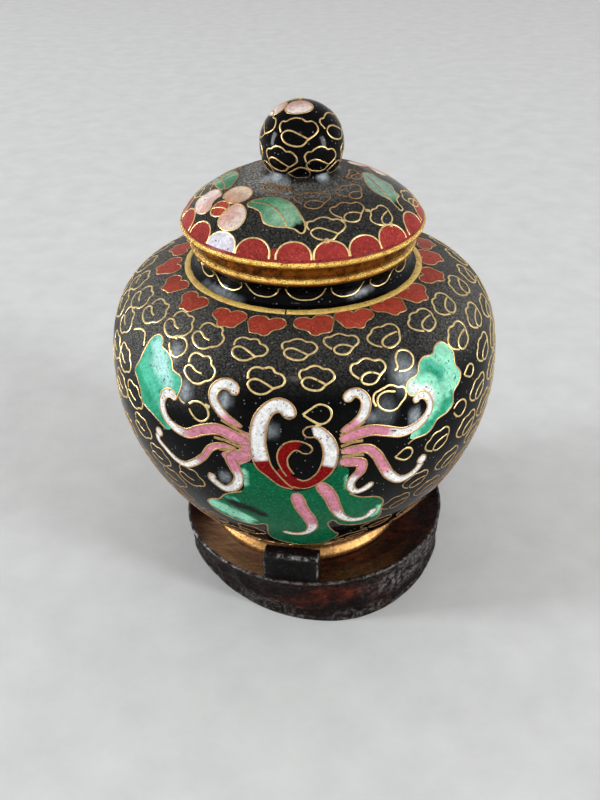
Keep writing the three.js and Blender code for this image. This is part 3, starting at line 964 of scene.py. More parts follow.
# the lotus and its leaves, traced in the photograph's pixels; widths in pixels at root, middle and tip
pixelsPerMm = 5.7
petals = {
    "leftUpper": {
        "route": [(242, 427), (226.7, 418), (218.6, 408.8), (213.5, 399.6), (214, 390.4), (220.6, 384.3),
                  (228.8, 384.3), (233.9, 389.4), (231.5, 394)],
        "widths": (4, 8, 8.5, 8.5, 9, 9.5, 10.5, 11, 9.5),
        "turn": (0.2, 0.34),
    },
    "leftLong": {
        "route": [(248, 443.5), (231.8, 435.3), (217.6, 429.2), (201.2, 430.2), (188, 433.3),
                  (177.8, 429.2), (168.6, 421), (163.5, 410.8), (162.4, 400.6), (166, 393), (171.6, 393.5),
                  (176.2, 399.6)],
        "widths": (12.5, 10.5, 8),
        "turn": (0.46, 0.56),
    },
    "leftThin": {
        "route": [(236, 448.6), (221.6, 445.5), (211.4, 447.6), (203.3, 456.7), (193, 462.9),
                  (183.9, 463.9), (173.7, 456.7), (165.5, 447.6), (158.6, 438.5), (158.2, 433)],
        "widths": (4, 6, 6.5, 6.5, 7, 7, 6.5, 5.5, 5.5, 6),
        "turn": (0.38, 0.5), "ball": (159.6, 431.4, 5.0),
    },
    "leftLower": {
        "route": [(248, 454.7), (231.8, 457.8), (234.9, 468), (239, 477), (234.9, 486.3), (225.7, 488.4),
                  (217.6, 483.3), (211.8, 477.5), (213.6, 474)],
        "widths": (15, 13, 10.5, 9, 9.5, 9, 8, 8, 8),
        "turn": (0.33, 0.42),
    },
    "bloomLeft": {
        "route": [(292.8, 488.7), (282.8, 484), (271.8, 474.3), (263.7, 466), (260.4, 457.9),
                  (257.7, 441.9), (258.6, 428.5), (261.7, 418.1), (268.4, 409.4), (276.8, 405.2),
                  (284.5, 406.9), (288.5, 412.1), (289.5, 419.1)],
        "widths": (2, 7.8, 10.6, 14.6, 15.8, 14.6, 14.8, 14, 12.5, 13, 13.4, 13, 11),
        "turn": (0.33, 0.35), "root": "crimson", "ink": 0.97,
    },
    "bloomRight": {
        "route": [(294.8, 482.8), (302.9, 484.7), (310.9, 482.8), (321, 475.9), (327.3, 467.6),
                  (330.3, 458.6), (330.7, 450.6), (328.3, 442.7), (323, 435.8), (316.3, 431.6),
                  (309.6, 432.8), (306.2, 437)],
        "widths": (11.4, 11, 10, 10.7, 13.2, 13.5, 13.5, 12.6, 11.4, 11.4, 12.6, 12),
        "turn": (0.42, 0.44), "root": "crimson", "ink": 0.9,
    },
    "bloomCurl": {
        "route": [(290.2, 475), (284.9, 467.8), (282.2, 458.6), (284.1, 452.6), (288.8, 447.5),
                  (296.2, 445.5), (303, 447.5), (307, 450.5), (309, 453.5)],
        "widths": (7.4, 7, 9.2, 11, 11.4, 10, 10.6, 11, 10),
        "turn": (2.0, 3.0), "root": "crimson", "ink": 0.77,
    },
    "rightUpper": {
        "route": [(341, 432.2), (353.3, 425), (362.4, 416), (366, 405.7), (364.5, 397.6), (357.3, 392.4),
                  (350.2, 394.5), (346, 401.6)],
        "widths": (6, 9.5, 8.5),
        "turn": (0.22, 0.36),
    },
    "rightLong": {
        "route": [(340, 440.4), (355.3, 434.3), (371.6, 430.2), (388, 431.2), (402.2, 432.2), (414.5, 427),
                  (423.7, 419), (429.8, 407.8), (428.8, 399.6), (423.7, 394.5), (417.6, 396.5),
                  (415, 402.7)],
        "widths": (12, 10, 7),
        "turn": (0.34, 0.42),
    },
    "rightThin": {
        "route": [(341, 451.6), (355.3, 449.6), (367.6, 448.6), (376.7, 454.7), (382.9, 464.9), (390, 475),
                  (401.2, 479), (411.5, 473.5), (418.5, 466.5), (421, 461)],
        "widths": (9, 9, 9, 9.5, 10, 10, 9, 7.5, 7.5, 8),
        "turn": (0.5, 0.6), "ball": (421.5, 459, 5.6),
    },
    "rightLower": {
        "route": [(340, 461.8), (353.3, 461.8), (361.4, 462.9), (360.4, 471), (353.3, 478.2),
                  (350.2, 486.3), (356.3, 491.4), (364.5, 488.4), (372.7, 482.2)],
        "widths": (11, 9, 6.5),
        "turn": (0.42, 0.5),
    },
    "bottomMiddle": {
        "route": [(295.5, 493), (302, 508.7), (309.7, 518.9), (312.2, 527.8), (304.6, 532.9),
                  (294.4, 533.5), (282.9, 531)],
        "widths": (13, 12.5, 12.5, 11, 8, 7, 6.5),
        "turn": (0.48, 0.62),
    },
    "bottomRight": {
        "route": [(319, 483), (330, 496), (335.2, 507.4), (341.6, 516.3), (351.8, 519.5), (363.3, 517.6),
                  (371, 512.5), (374, 508.3)],
        "widths": (14, 13, 12, 9, 8, 8, 9, 10),
        "turn": (0.4, 0.55),
    },
}
leaves = {
    "upperLeft": {
        "outline": [(159, 334), (163.5, 339), (162.7, 346), (168, 352), (172, 360), (173.5, 370),
                    (180.5, 376), (182, 383), (179, 393), (172, 392.5), (165, 396), (163, 405), (165, 416),
                    (171, 428), (166, 429), (160, 422), (153, 414), (143, 402), (141, 391), (138, 380),
                    (135.3, 370), (140, 360), (146, 347), (152, 338)],
        "wire": {"before": [(176, 399)], "start": 8, "steps": -18},
        "ground": "sea",
        "strokes": [((158, 345), (166, 380), 10, "aqua"), ((137, 370), (150, 398), 8, "grass"),
                    ((148, 400), (164, 424), 9, "grass")],
    },
    "upperRight": {
        "outline": [(440, 341.6), (446, 343.6), (453, 351.5), (455, 364), (460.5, 372), (459, 382),
                    (453.4, 392), (452.6, 404), (447, 412), (437, 419.5), (432, 428), (426, 434),
                    (414, 439), (410, 438), (415, 428), (424, 418), (429, 408), (428, 399), (423, 395),
                    (416, 395.5), (409, 394.6), (406, 386), (409, 380), (417, 374), (419, 363), (423, 357),
                    (432, 354), (434.4, 346.5)],
        "wire": {"before": [(415, 396)], "start": 20, "steps": 20, "after": [(408, 444)]},
        "ground": "mint",
        "strokes": [((426, 366), (440, 372), 9, "sea"), ((428, 369), (437, 373), 4, "grass"),
                    ((451, 396), (440, 414), 8, "grass"),
                    ((440, 414), (424, 432), 7, "grass"), ((411, 386), (420, 390), 5, "white"),
                    ((426, 388), (434, 398), 4, "white")],
    },
    "base": {
        "outline": [(240.8, 464), (251, 463), (262, 468), (277, 484), (294, 491), (312, 488), (331, 474),
                    (338, 468), (348, 468), (347, 482), (349, 493), (359, 496.6), (377, 496.6), (383, 500),
                    (381, 507), (378.6, 516), (363, 523), (340, 524), (333, 520), (328, 523), (334, 531.6),
                    (338, 534), (321, 543), (302, 544.4), (276.5, 539), (269, 534), (266, 524),
                    (253.6, 524), (238, 520), (219, 511), (208, 501), (211.5, 498.5), (219, 498.5),
                    (225.5, 494), (242, 491), (244, 482), (241, 472)],
        "wire": {"start": 34, "steps": -24},
        "ground": "leaf",
        "strokes": [((213, 502), (247, 518.5), 11, "mint"), ((372, 515), (382, 505), 4.5, "mint"),
                    ((243, 471), (246, 484), 2.5, "mint"),
                    ((349, 476), (349, 488), 2, "mint"), ((228, 497), (236, 499), 3, "sea"),
                    ((231, 500.5), (262, 513), 6.5, "ink")],
    },
}
rootWires = [
    [(250, 435.5), (234, 427.5), (221, 419.5)],
    [(241, 447.5), (227, 441), (214, 437)],
    [(240, 451), (229, 449.8), (219, 449)],
    [(340, 435.5), (353, 429), (365, 421.5)],
    [(341, 446.5), (352, 442.5), (363, 440.5)],
    [(342, 457), (353, 455.3), (364, 454.6)],
]
rootPad = [(249, 433), (251, 447), (250.5, 460), (243, 463.5), (236, 466), (226, 460), (221.5, 453.5),
           (230, 450), (239, 449), (240, 445.5), (232, 440.5), (224, 436), (236, 433)]
bloomPad = [(278.8, 468.6), (284.8, 472), (290.2, 474.7), (294.2, 477.3), (300.9, 479.7), (300.9, 488.7),
            (292.8, 489.4), (287.5, 487.4), (282.1, 480.7), (276.8, 474.7)]
flowerLook = {"leafLift": 0.02, "padLift": 0.03, "petalLift": 0.04, "bloomLift": 0.05, "ballLift": 0.09,
              "backTurn": 180.0, "rootWidth": 0.55, "rootProud": 0.06, "wire": 0.3, "petalStep": 0.34,
              "leafStep": 0.4}


def petalHalf(petal, route):
    steps = np.concatenate([[0.0], np.cumsum(np.linalg.norm(np.diff(route, axis=0), axis=1))])
    share = steps / steps[-1]
    widths = np.array(petal["widths"], float) / pixelsPerMm / 2
    if len(widths) == 3:
        root, middle, tip = widths
        half = np.interp(share, [0.0, 0.4, 0.82, 0.92, 1.0], [root, middle, tip * 0.92, tip * 1.12, tip])
    else:
        marks = castPixels(belly, petal["route"])
        spans = np.concatenate([[0.0], np.cumsum(np.linalg.norm(np.diff(marks, axis=0), axis=1))])
        half = np.interp(share, spans / spans[-1], widths)
    roundEnd = half[-1] / steps[-1]
    half *= np.sqrt(np.clip(1.0 - (np.clip(share - 1.0 + roundEnd, 0.0, None) / roundEnd) ** 2, 0.0, 1.0))
    if "root" not in petal:
        half *= 0.25 + 0.75 * np.sqrt(np.clip(share / 0.09, 0.0, 1.0))
    return np.maximum(half, 0.06), share


def drawPetal(name, shift):
    petal = petals[name]
    route = tracePixels(belly, petal["route"], flowerLook["petalStep"]) + np.array([shift, 0.0])
    half, share = petalHalf(petal, route)
    rootPaint = enamelPaint[petal.get("root", "pink")]
    tints = blendPaint(rootPaint, enamelPaint["white"], smoothStep(*petal["turn"], share))
    if "ink" in petal:
        tints = blendPaint(tints, enamelPaint["ink"], smoothStep(petal["ink"], petal["ink"] + 0.02, share))
    lift = flowerLook["bloomLift"] if "root" in petal else flowerLook["petalLift"]
    addStroke(flowerCells, belly, route, half, lift, tints)
    left, leftHalf, rightHalf = strokeEdges(route, half)
    leftEdge = route + left * leftHalf[:, None]
    rightEdge = route - left * rightHalf[:, None]
    edge = respace(np.vstack([leftEdge, rightEdge[::-1]]), wireLook["step"])
    addWire(flowerWires, belly, edge, flowerLook["wire"])
    taken.append(np.vstack([leftEdge, rightEdge[::-1]]))
    if "ball" in petal:
        px, py, reach = petal["ball"]
        x, along = castPixels(belly, [(px, py)])[0]
        turn = np.linspace(0.0, 2 * math.pi, 18, endpoint=False)
        ring = np.stack([np.cos(turn), np.sin(turn)], axis=1) * reach / pixelsPerMm
        ring = moveMotif(belly, ring, degreesAt(belly, x + shift), along, 1.0)
        addCell(flowerCells, belly, ring, flowerLook["ballLift"], lambda p: enamelPaint["white"])
        proud = flowerLook["ballLift"] + 0.03
        addWire(flowerWires, belly, ring, flowerLook["wire"], closed=True, proud=proud)
        taken.append(ring)


# the wire goes only part of the way round a leaf: along the outline's points, with ends of its own
def edgeWalk(leaf):
    wire, points = leaf["wire"], leaf["outline"]
    way = 1 if wire["steps"] > 0 else -1
    walk = range(wire["start"], wire["start"] + wire["steps"] + way, way)
    return wire.get("before", []) + [points[i % len(points)] for i in walk] + wire.get("after", [])


def drawLeaf(name, shift):
    leaf = leaves[name]
    outline = tracePixels(belly, leaf["outline"], flowerLook["leafStep"], True, shift)
    strokes = []
    for start, end, reach, colour in leaf["strokes"]:
        ends = castPixels(belly, [start, end]) + np.array([shift, 0.0])
        strokes.append((*ends, reach / pixelsPerMm, enamelPaint[colour]))

    def leafTint(p):
        shade = enamelPaint[leaf["ground"]]
        ragged = raggedAt(p, 0.55, 3.0) + 0.6 * raggedAt(p, 1.6, 9.0)
        for start, end, reach, colour in strokes:
            run = end - start
            share = np.clip(np.dot(p - start, run) / np.dot(run, run), 0.0, 1.0)
            gap = float(np.linalg.norm(p - start - run * share)) + 0.55 * reach * ragged
            shade = blendPaint(shade, colour, smoothStep(1.25 * reach, 0.6 * reach, gap))
        return shade

    addCell(flowerCells, belly, outline, flowerLook["leafLift"], leafTint)
    edge = tracePixels(belly, edgeWalk(leaf), wireLook["step"], shift=shift)
    addWire(flowerWires, belly, edge, flowerLook["wire"])
    taken.append(outline)


def drawLotus(turn, names):
    shift = math.radians(turn) * belly["chart"]
    for name in leaves:
        drawLeaf(name, shift)
    for outline, shade in ((rootPad, "pink"), (bloomPad, "crimson")):
        pad = tracePixels(belly, outline, flowerLook["leafStep"], True, shift)
        addCell(flowerCells, belly, pad, flowerLook["padLift"], lambda p, shade=shade: enamelPaint[shade])
    for name in names:
        drawPetal(name, shift)
    for route in rootWires:
        line = tracePixels(belly, route, wireLook["step"], shift=shift)
        addWire(flowerWires, belly, line, flowerLook["rootWidth"], proud=flowerLook["rootProud"])


drawLotus(0.0, list(petals))
drawLotus(flowerLook["backTurn"], [n for n in petals if n not in ("leftThin", "rightThin", "bottomMiddle")])
print("lotus laid front and back")

# cloud wires: three bumps over a loop, drawn a little differently on each side of the jar
cloudShapes = {
    "left": [(-0.41, 0.09), (-0.42, 0.27), (-0.31, 0.4), (-0.15, 0.41), (-0.01, 0.37), (0.15, 0.4),
             (0.27, 0.32), (0.31, 0.2), (0.42, 0.13), (0.49, 0.0), (0.43, -0.2), (0.23, -0.3), (0.1, -0.4),
             (-0.11, -0.42), (-0.36, -0.31), (-0.49, -0.15), (-0.44, 0.0), (-0.3, 0.03), (-0.11, -0.08),
             (0.09, -0.11)],
    "midLeft": [(-0.48, 0.04), (-0.48, 0.19), (-0.37, 0.32), (-0.21, 0.35), (-0.08, 0.31), (0.06, 0.35),
                (0.18, 0.31), (0.23, 0.21), (0.4, 0.15), (0.5, 0.0), (0.43, -0.14), (0.2, -0.21),
                (0.02, -0.33), (-0.2, -0.36), (-0.41, -0.26), (-0.49, -0.11), (-0.41, 0.01), (-0.24, 0.03),
                (-0.03, -0.07), (0.18, -0.2)],
    "mid": [(-0.45, -0.03), (-0.49, 0.13), (-0.4, 0.24), (-0.31, 0.24), (-0.2, 0.31), (-0.05, 0.35),
            (0.1, 0.31), (0.18, 0.24), (0.33, 0.23), (0.46, 0.11), (0.49, -0.02), (0.36, -0.14),
            (0.24, -0.2), (0.1, -0.33), (-0.13, -0.34), (-0.37, -0.24), (-0.43, -0.1), (-0.33, 0.0),
            (-0.18, 0.02), (0.04, -0.08), (0.23, -0.19)],
    "midRight": [(-0.31, -0.16), (-0.46, -0.01), (-0.49, 0.14), (-0.41, 0.25), (-0.27, 0.26), (-0.16, 0.33),
                 (-0.01, 0.36), (0.12, 0.3), (0.2, 0.25), (0.37, 0.24), (0.48, 0.11), (0.47, -0.02),
                 (0.29, -0.16), (0.12, -0.33), (-0.08, -0.35), (-0.25, -0.26), (-0.24, -0.14),
                 (-0.08, -0.04), (0.12, -0.06), (0.28, -0.15)],
    "right": [(-0.18, -0.32), (-0.38, -0.22), (-0.49, -0.06), (-0.43, 0.09), (-0.31, 0.17), (-0.24, 0.27),
              (-0.08, 0.34), (0.08, 0.32), (0.25, 0.37), (0.43, 0.3), (0.5, 0.12), (0.45, -0.04),
              (0.39, -0.22), (0.17, -0.35), (-0.02, -0.37), (-0.14, -0.26), (-0.07, -0.1), (0.16, 0.01),
              (0.41, 0.05)],
    "curl": [(-0.42, -0.15), (-0.49, 0.04), (-0.43, 0.2), (-0.29, 0.26), (-0.15, 0.3), (0.01, 0.35),
             (0.17, 0.3), (0.26, 0.24), (0.42, 0.22), (0.5, 0.08), (0.45, -0.1), (0.33, -0.2),
             (0.18, -0.34), (0.0, -0.37), (-0.25, -0.26), (-0.37, -0.09), (-0.33, 0.1), (-0.12, 0.2),
             (0.17, 0.14)],
}
# the ones that the photograph shows, by the pixel of each middle
frontClouds = {
    "left": [(155.5, 311.5), (179.5, 324.5), (209, 336), (200, 369), (117, 346), (125, 359), (122, 384),
             (134.5, 396), (143, 427), (160.5, 456), (191.5, 477)],
    "midLeft": [(250, 349), (266, 380.5)],
    "mid": [(299.5, 349), (317, 378)],
    "midRight": [(342, 343.5), (369, 371)],
    "curl": [(390, 398)],
    "right": [(384, 336), (421.5, 320.5), (443.5, 304.5), (459, 286), (458, 336.5), (474, 316), (483, 348),
              (491, 366), (477.5, 388), (466, 425), (437.5, 440.5), (446.5, 459), (426, 486.5), (395, 502)],
}
cloudRows = {"top": 66.9, "drop": 5.3, "count": 11, "highRows": 5, "squeeze": 0.94}
cloudLook = {"size": 6.2, "leftFrom": -14.0, "rightFrom": 16.0, "clearance": 0.25, "room": (7.0, 5.0),
             "scan": 1.5}
# small loops in the gaps, by pixel, size and kind
loopSpots = [(317.5, 414.5, 4.9, "drop"), (198.5, 411, 4.1, "open"), (404, 454.5, 3.7, "drop"),
             (469, 371, 3.4, "drop"),
             (177.5, 346, 4.2, "open"), (403, 359.5, 4.2, "tail"), (460, 408, 3.9, "open")]
loopShapes = {
    "drop": [(-0.5, 0.0), (-0.24, 0.19), (0.05, 0.35), (0.36, 0.25), (0.48, 0.02), (0.38, -0.24),
             (0.12, -0.36), (-0.16, -0.24), (-0.47, -0.02)],
    "open": [(-0.48, 0.2), (-0.22, 0.38), (0.14, 0.4), (0.44, 0.18), (0.48, -0.14), (0.22, -0.42),
             (-0.08, -0.42), (-0.34, -0.22), (-0.48, -0.02)],
    "tail": [(-0.52, -0.32), (-0.36, -0.24), (-0.3, 0.14), (-0.04, 0.4), (0.3, 0.32), (0.48, 0.02),
             (0.34, -0.32), (0.02, -0.44), (-0.34, -0.4)],
}

# short ends of wire left over beside the petals, by pixel
looseWires = [[(134.4, 329.2), (140.5, 328.6), (145.2, 333), (144.0, 345.8)],
              [(179, 396.8), (181.5, 401), (184.6, 403.4)]]

# blobs of solder where wires meet, by pixel
solderLook = {"belly": [(176, 337), (171, 353), (207.5, 406), (318, 425.5)],
              "dome": [(306, 224), (343, 221), (367.5, 210.5), (327, 241), (391, 225)],
              "length": 0.9, "width": 0.62}


def drawSolder(tray, surface, pixels):
    for x, along in castPixels(surface, pixels):
        half = solderLook["length"] / 2
        lean = rng.uniform(0.0, math.pi)
        line = [(x + half * t * math.cos(lean), along + half * t * math.sin(lean))
                for t in np.linspace(-1.0, 1.0, 5)]
        addWire(tray, surface, np.array(line), solderLook["width"], proud=0.1)


def meetsOrnament(line):
    spots = np.vstack([line + np.array(step) * cloudLook["clearance"]
                       for step in ((1, 0), (-1, 0), (0, 1), (0, -1))])
    span = 2 * math.pi * belly["chart"]
    for outline in taken:
        offset = np.round((outline[:, 0].mean() - spots[:, 0].mean()) / span) * span
        moved = spots + np.array([offset, 0.0])
        past = (moved.min(axis=0) > outline.max(axis=0)) | (moved.max(axis=0) < outline.min(axis=0))
        if past.any():
            continue
        if insideOutline(moved, outline).any():
            return True
    return False


def drawClouds():
    bases = {side: smoothLine(shape, 0.05) for side, shape in cloudShapes.items()}
    placed = []

    def crowded(angle, along, room):
        for other, height in placed:
            across = math.radians((angle - other + 180.0) % 360.0 - 180.0) * radiusAt(belly, along)
            if math.hypot(across / cloudLook["room"][0], (along - height) / cloudLook["room"][1]) < room:
                return True
        return False

    def layCloud(tray, side, angle, along, size, lean):
        line = moveMotif(belly, bases[side], angle, along, size, lean)
        height = float(np.interp(along, belly["along"], belly["height"]))
        width = wireLook["width"] * (0.74 + 0.26 * smoothStep(34.0, 56.0, height))
        addWire(tray, belly, respace(line, wireLook["step"] * 1.1), width)
        placed.append((angle, along))

    for side, pixels in frontClouds.items():
        for x, along in castPixels(belly, pixels):
            size = cloudLook["size"] * rng.uniform(0.96, 1.04)
            layCloud(cloudWiresHigh, side, degreesAt(belly, x), along, size, rng.uniform(-5.0, 5.0))
    for px, py, size, kind in loopSpots:
        x, along = castPixels(belly, [(px, py)])[0]
        shape = smoothLine(loopShapes[kind], 0.07)
        addWire(cloudWiresHigh, belly, moveMotif(belly, shape, degreesAt(belly, x), along, size))
        placed.append((degreesAt(belly, x), along))
    for line in looseWires:
        addWire(cloudWiresHigh, belly, tracePixels(belly, line, 0.3))
    taken.extend(castPixels(belly, outline) for outline in bareGround)
    top = alongAt(belly, cloudRows["top"])
    levels = np.arange(cloudRows["count"])
    for index in [*levels, *(levels + 0.5), *(levels + 0.25)]:
        along = top - cloudRows["drop"] * index
        tray = cloudWiresHigh if index < cloudRows["highRows"] else cloudWiresLow
        start = rng.uniform(20.0, 60.0)
        for angle in np.arange(start, start + 360.0, cloudLook["scan"]):
            angle = (angle + 180.0) % 360.0 - 180.0
            if crowded(angle, along, 1.0 if index % 1 == 0 else cloudRows["squeeze"]):
                continue
            side = "mid"
            if angle < cloudLook["leftFrom"]:
                side = "left"
            elif angle > cloudLook["rightFrom"]:
                side = "right"
            size = cloudLook["size"] * rng.uniform(0.92, 1.05)
            lean = rng.uniform(-10.0, 10.0)
            spot = along + rng.uniform(-0.3, 0.3)
            if meetsOrnament(moveMotif(belly, bases[side], angle, spot, size, lean)):
                continue
            layCloud(tray, side, angle, spot, size, lean)


drawClouds()
drawSolder(cloudWiresHigh, belly, solderLook["belly"])
print("clouds laid")

# the lid's pattern: lobes round the rim, a blossom, leaves and clouds
lobeLook = {"count": 20, "width": 6.3, "height": 3.9, "start": 0.95, "pale": 1, "lift": 0.03, "hem": 2.1}
# the lobes that the photograph shows, from left to right; the rest are spaced evenly round the back
frontLobes = [(199, 234.3), (220.6, 244.2), (252.9, 249.2), (293.6, 252.5), (331.2, 253.4), (365.7, 248.4),
              (394.2, 240.1), (415.8, 227.6)]
lidBlossom = {
    "petals": [
        [(195.8, 211.4), (195.3, 207.2), (197.8, 200.6), (204.9, 194.8), (212.3, 190.6), (217.3, 189.4),
         (220.6, 191.5), (221.5, 195.6), (216.5, 198.9), (212.3, 203), (210.3, 208.9), (206.5, 212.2),
         (200.7, 213.8)],
        [(223.1, 196.4), (229.8, 189.8), (238, 186.5), (246.3, 186.5), (252.1, 189.8), (252.6, 193.9),
         (248, 198.9), (239.7, 202.2), (230.6, 202.7), (224.8, 198.9)],
        [(229.8, 207.2), (234.7, 203.9), (241.4, 204.7), (245.5, 209.7), (245.5, 216.3), (241.4, 224.6),
         (234.7, 229.6), (226.4, 230.4), (219.8, 227.1), (218.1, 222.1), (219.8, 217.2), (224.8, 211.4)],
    ],
    "casts": [(1.0, 1.0, 1.0), (0.8, 0.73, 0.58), (0.95, 0.89, 0.84)],
    "heart": [(213.2, 207.2), (217.3, 203.1), (223.1, 201), (228.1, 202.2), (229.3, 205.6), (226.4, 211.4),
              (221.5, 215.5), (214.8, 216.3), (210.7, 213.8), (211.1, 210.5)],
    "heartVein": [(212.6, 208.2), (219, 207.2), (224, 208), (227, 210)],
    "leaves": [
        {
            "outline": [(221.5, 177.4), (226.4, 173.2), (233.1, 171.1), (238, 173.2), (238, 177.4),
                        (233.9, 183.2), (228.9, 188.1), (225.2, 189), (224.8, 184.8), (222.3, 180.7)],
            "pale": (233, 174), "reach": 4.0,
        },
        {
            "outline": [(214, 180.7), (218.1, 179), (222.3, 181.5), (224.8, 186.5), (222.3, 189.8),
                        (217.3, 187.3), (214.8, 184)],
            "pale": (216, 182), "reach": 3.0,
        },
        {
            "outline": [(247.6, 203.9), (250.5, 201.4), (258.8, 198.9), (267.9, 197.7), (276.2, 197.7),
                        (286.1, 199.8), (293.6, 204.7), (298.6, 211.4), (302.7, 218.8), (305.2, 224.6),
                        (305.2, 229.6), (302.7, 233.3), (299.4, 232.9), (295.3, 229.6), (287, 227.5),
                        (277.8, 227.1), (269.6, 225.5), (263.7, 222.1), (261.7, 216.3), (259.6, 211.4),
                        (253.8, 208), (248.8, 206.4)],
            "pale": (284, 219), "reach": 6.4, "dark": (303.5, 230), "darkReach": 2.3,
        },
        {
            "outline": [(362.2, 174), (365.5, 172.4), (371.3, 173.6), (379.6, 179), (390.4, 184.8),
                        (394.5, 191.5), (398.7, 195.6), (396.6, 198.9), (398.7, 203.9), (402.8, 208.9),
                        (400.7, 210.5), (395.4, 205.6), (389.6, 199.8), (379.6, 194.8), (371.3, 189.8),
                        (365.5, 183.2)],
            "pale": (371, 181), "reach": 9.0, "paleTone": "ash", "dark": (401, 208.5), "darkReach": 1.9,
        },
    ],
    "veins": [
        [(252.1, 201.8), (259.6, 203.1), (267.9, 204.7), (274.5, 208), (280.3, 213.8), (284.5, 220.5),
         (287, 227.5)],
        [(366.3, 175.7), (374.6, 183.2), (382.9, 190.6), (389.6, 199.8)],
    ],
    "lift": 0.03,
    "step": 0.34,
    "heartStep": 0.3,
}
lidClouds = [(327, 228, 6.8, "mid"), (349.5, 211.5, 6.6, "midRight"), (381, 216, 5.4, "right"),
             (313, 199.8, 6.5, "midRight"),
             (351.5, 191.5, 5.8, "midRight"), (278, 187, 5.4, "midLeft"), (353, 174.5, 4.8, "mid")]
lidWireWidth = 0.28
lidBack = {
    "blossom": (126.0, 8.7, 4.9),
    "cloudSize": 6.0,
    "petals": 5,
    "firstPetal": 26.0,
    "petal": (0.5, 0.36),
    "clouds": [(-92, 6.3), (-112, 10.2), (-134, 5.6), (86, 4.4), (168, 4.6), (-152, 10.4), (176, 10.4),
               (-168, 5.2)],
}


def leafShade(leaf):
    pale = castPixels(dome, [leaf["pale"]])[0]
    dark = castPixels(dome, [leaf["dark"]])[0] if "dark" in leaf else None

    def shade(p):
        ragged = 1.6 * raggedAt(p, 0.6, 7.0) + 2.6 * raggedAt(p, 1.3, 3.0)
        share = smoothStep(leaf["reach"], leaf["reach"] * 0.25, float(np.linalg.norm(p - pale)) + ragged)
        tone = blendPaint(enamelPaint["fern"], enamelPaint[leaf.get("paleTone", "sage")], share)
        if dark is not None:
            inked = smoothStep(leaf["darkReach"], leaf["darkReach"] - 0.5, float(np.linalg.norm(p - dark)))
            tone = blendPaint(tone, enamelPaint["ink"], inked)
        return tone

    return shade


def blossomShade(outline, core, cast=(1.0, 1.0, 1.0)):
    far = np.linalg.norm(outline - core, axis=1).max()

    def shade(p):
        out = float(np.linalg.norm(p - core)) / far
        share = smoothStep(0.35, 0.95, out + 0.2 * raggedAt(p, 1.0, 1.0))
        return blendPaint(enamelPaint["rose"], enamelPaint["blush"], share) * np.array(cast)

    return shade


def drawLidCell(outline, tintAt, closed=True):
    addCell(lidCells, dome, outline, lidBlossom["lift"], tintAt)
    addWire(lidWires, dome, outline, lidWireWidth, closed=closed)


def drawLobes():
    seen = [degreesAt(dome, x) for x, _ in castPixels(dome, frontLobes)]
    rest = lobeLook["count"] - len(seen)
    gap = (seen[0] + 360.0 - seen[-1]) / (rest + 1)
    for i, angle in enumerate(seen + [seen[-1] + gap * (k + 1) for k in range(rest)]):
        half = lobeLook["width"] / 2 * rng.uniform(0.95, 1.06)
        tall = lobeLook["height"] * rng.uniform(0.94, 1.08)
        leanAngles = np.radians(np.linspace(-6.0, 186.0, 15))
        arch = [(-half * math.cos(a), lobeLook["start"] + (tall - lobeLook["start"]) * math.sin(a))
                for a in leanAngles]
        line = moveMotif(dome, smoothLine(arch, 0.3), angle, 0.0, 1.0)
        pale = i == lobeLook["pale"]
        shade = enamelPaint["lilac"] if pale else enamelPaint["maroon"] * rng.uniform(0.9, 1.15)
        lift = lobeLook["lift"] * (1.5 if pale else 1.0)
        addCell(lidCells, dome, line, lift, lambda p, shade=shade: shade)
        addWire(lidWires, dome, line, lidWireWidth)


# red that has run along the rim between the lobes, in pieces with ragged tops
def drawLobeHem():
    pieces, points = 12, 24
    span = 2 * math.pi * dome["chart"] / pieces
    for k in range(pieces):
        run = np.linspace(k * span, (k + 1) * span, points)
        turn = run / dome["chart"]
        ragged = [noise.noise((math.cos(a) * 9, math.sin(a) * 9, 4.0)) for a in turn]
        tops = lobeLook["hem"] * (1.0 + 0.7 * np.array(ragged))
        outline = np.vstack([np.stack([run, np.full(points, 0.04)], axis=1),
                             np.stack([run, tops], axis=1)[::-1]])
        addCell(lidCells, dome, outline, lobeLook["lift"] * 0.6, lambda p: enamelPaint["maroon"] * 0.9)


def drawLidBlossom():
    core = castPixels(dome, lidBlossom["heart"]).mean(axis=0)
    for petal, cast in zip(lidBlossom["petals"], lidBlossom["casts"]):
        outline = tracePixels(dome, petal, lidBlossom["step"], closed=True)
        drawLidCell(outline, blossomShade(outline, core, cast))
    heart = tracePixels(dome, lidBlossom["heart"], lidBlossom["heartStep"], closed=True)
    drawLidCell(heart, lambda p: enamelPaint["brick"])
    vein = tracePixels(dome, lidBlossom["heartVein"], lidBlossom["heartStep"])
    addWire(lidWires, dome, vein, lidWireWidth)
    for leaf in lidBlossom["leaves"]:
        outline = tracePixels(dome, leaf["outline"], lidBlossom["step"], closed=True)
        drawLidCell(outline, leafShade(leaf))
    for vein in lidBlossom["veins"]:
        addWire(lidWires, dome, tracePixels(dome, vein, lidBlossom["step"]), lidWireWidth)


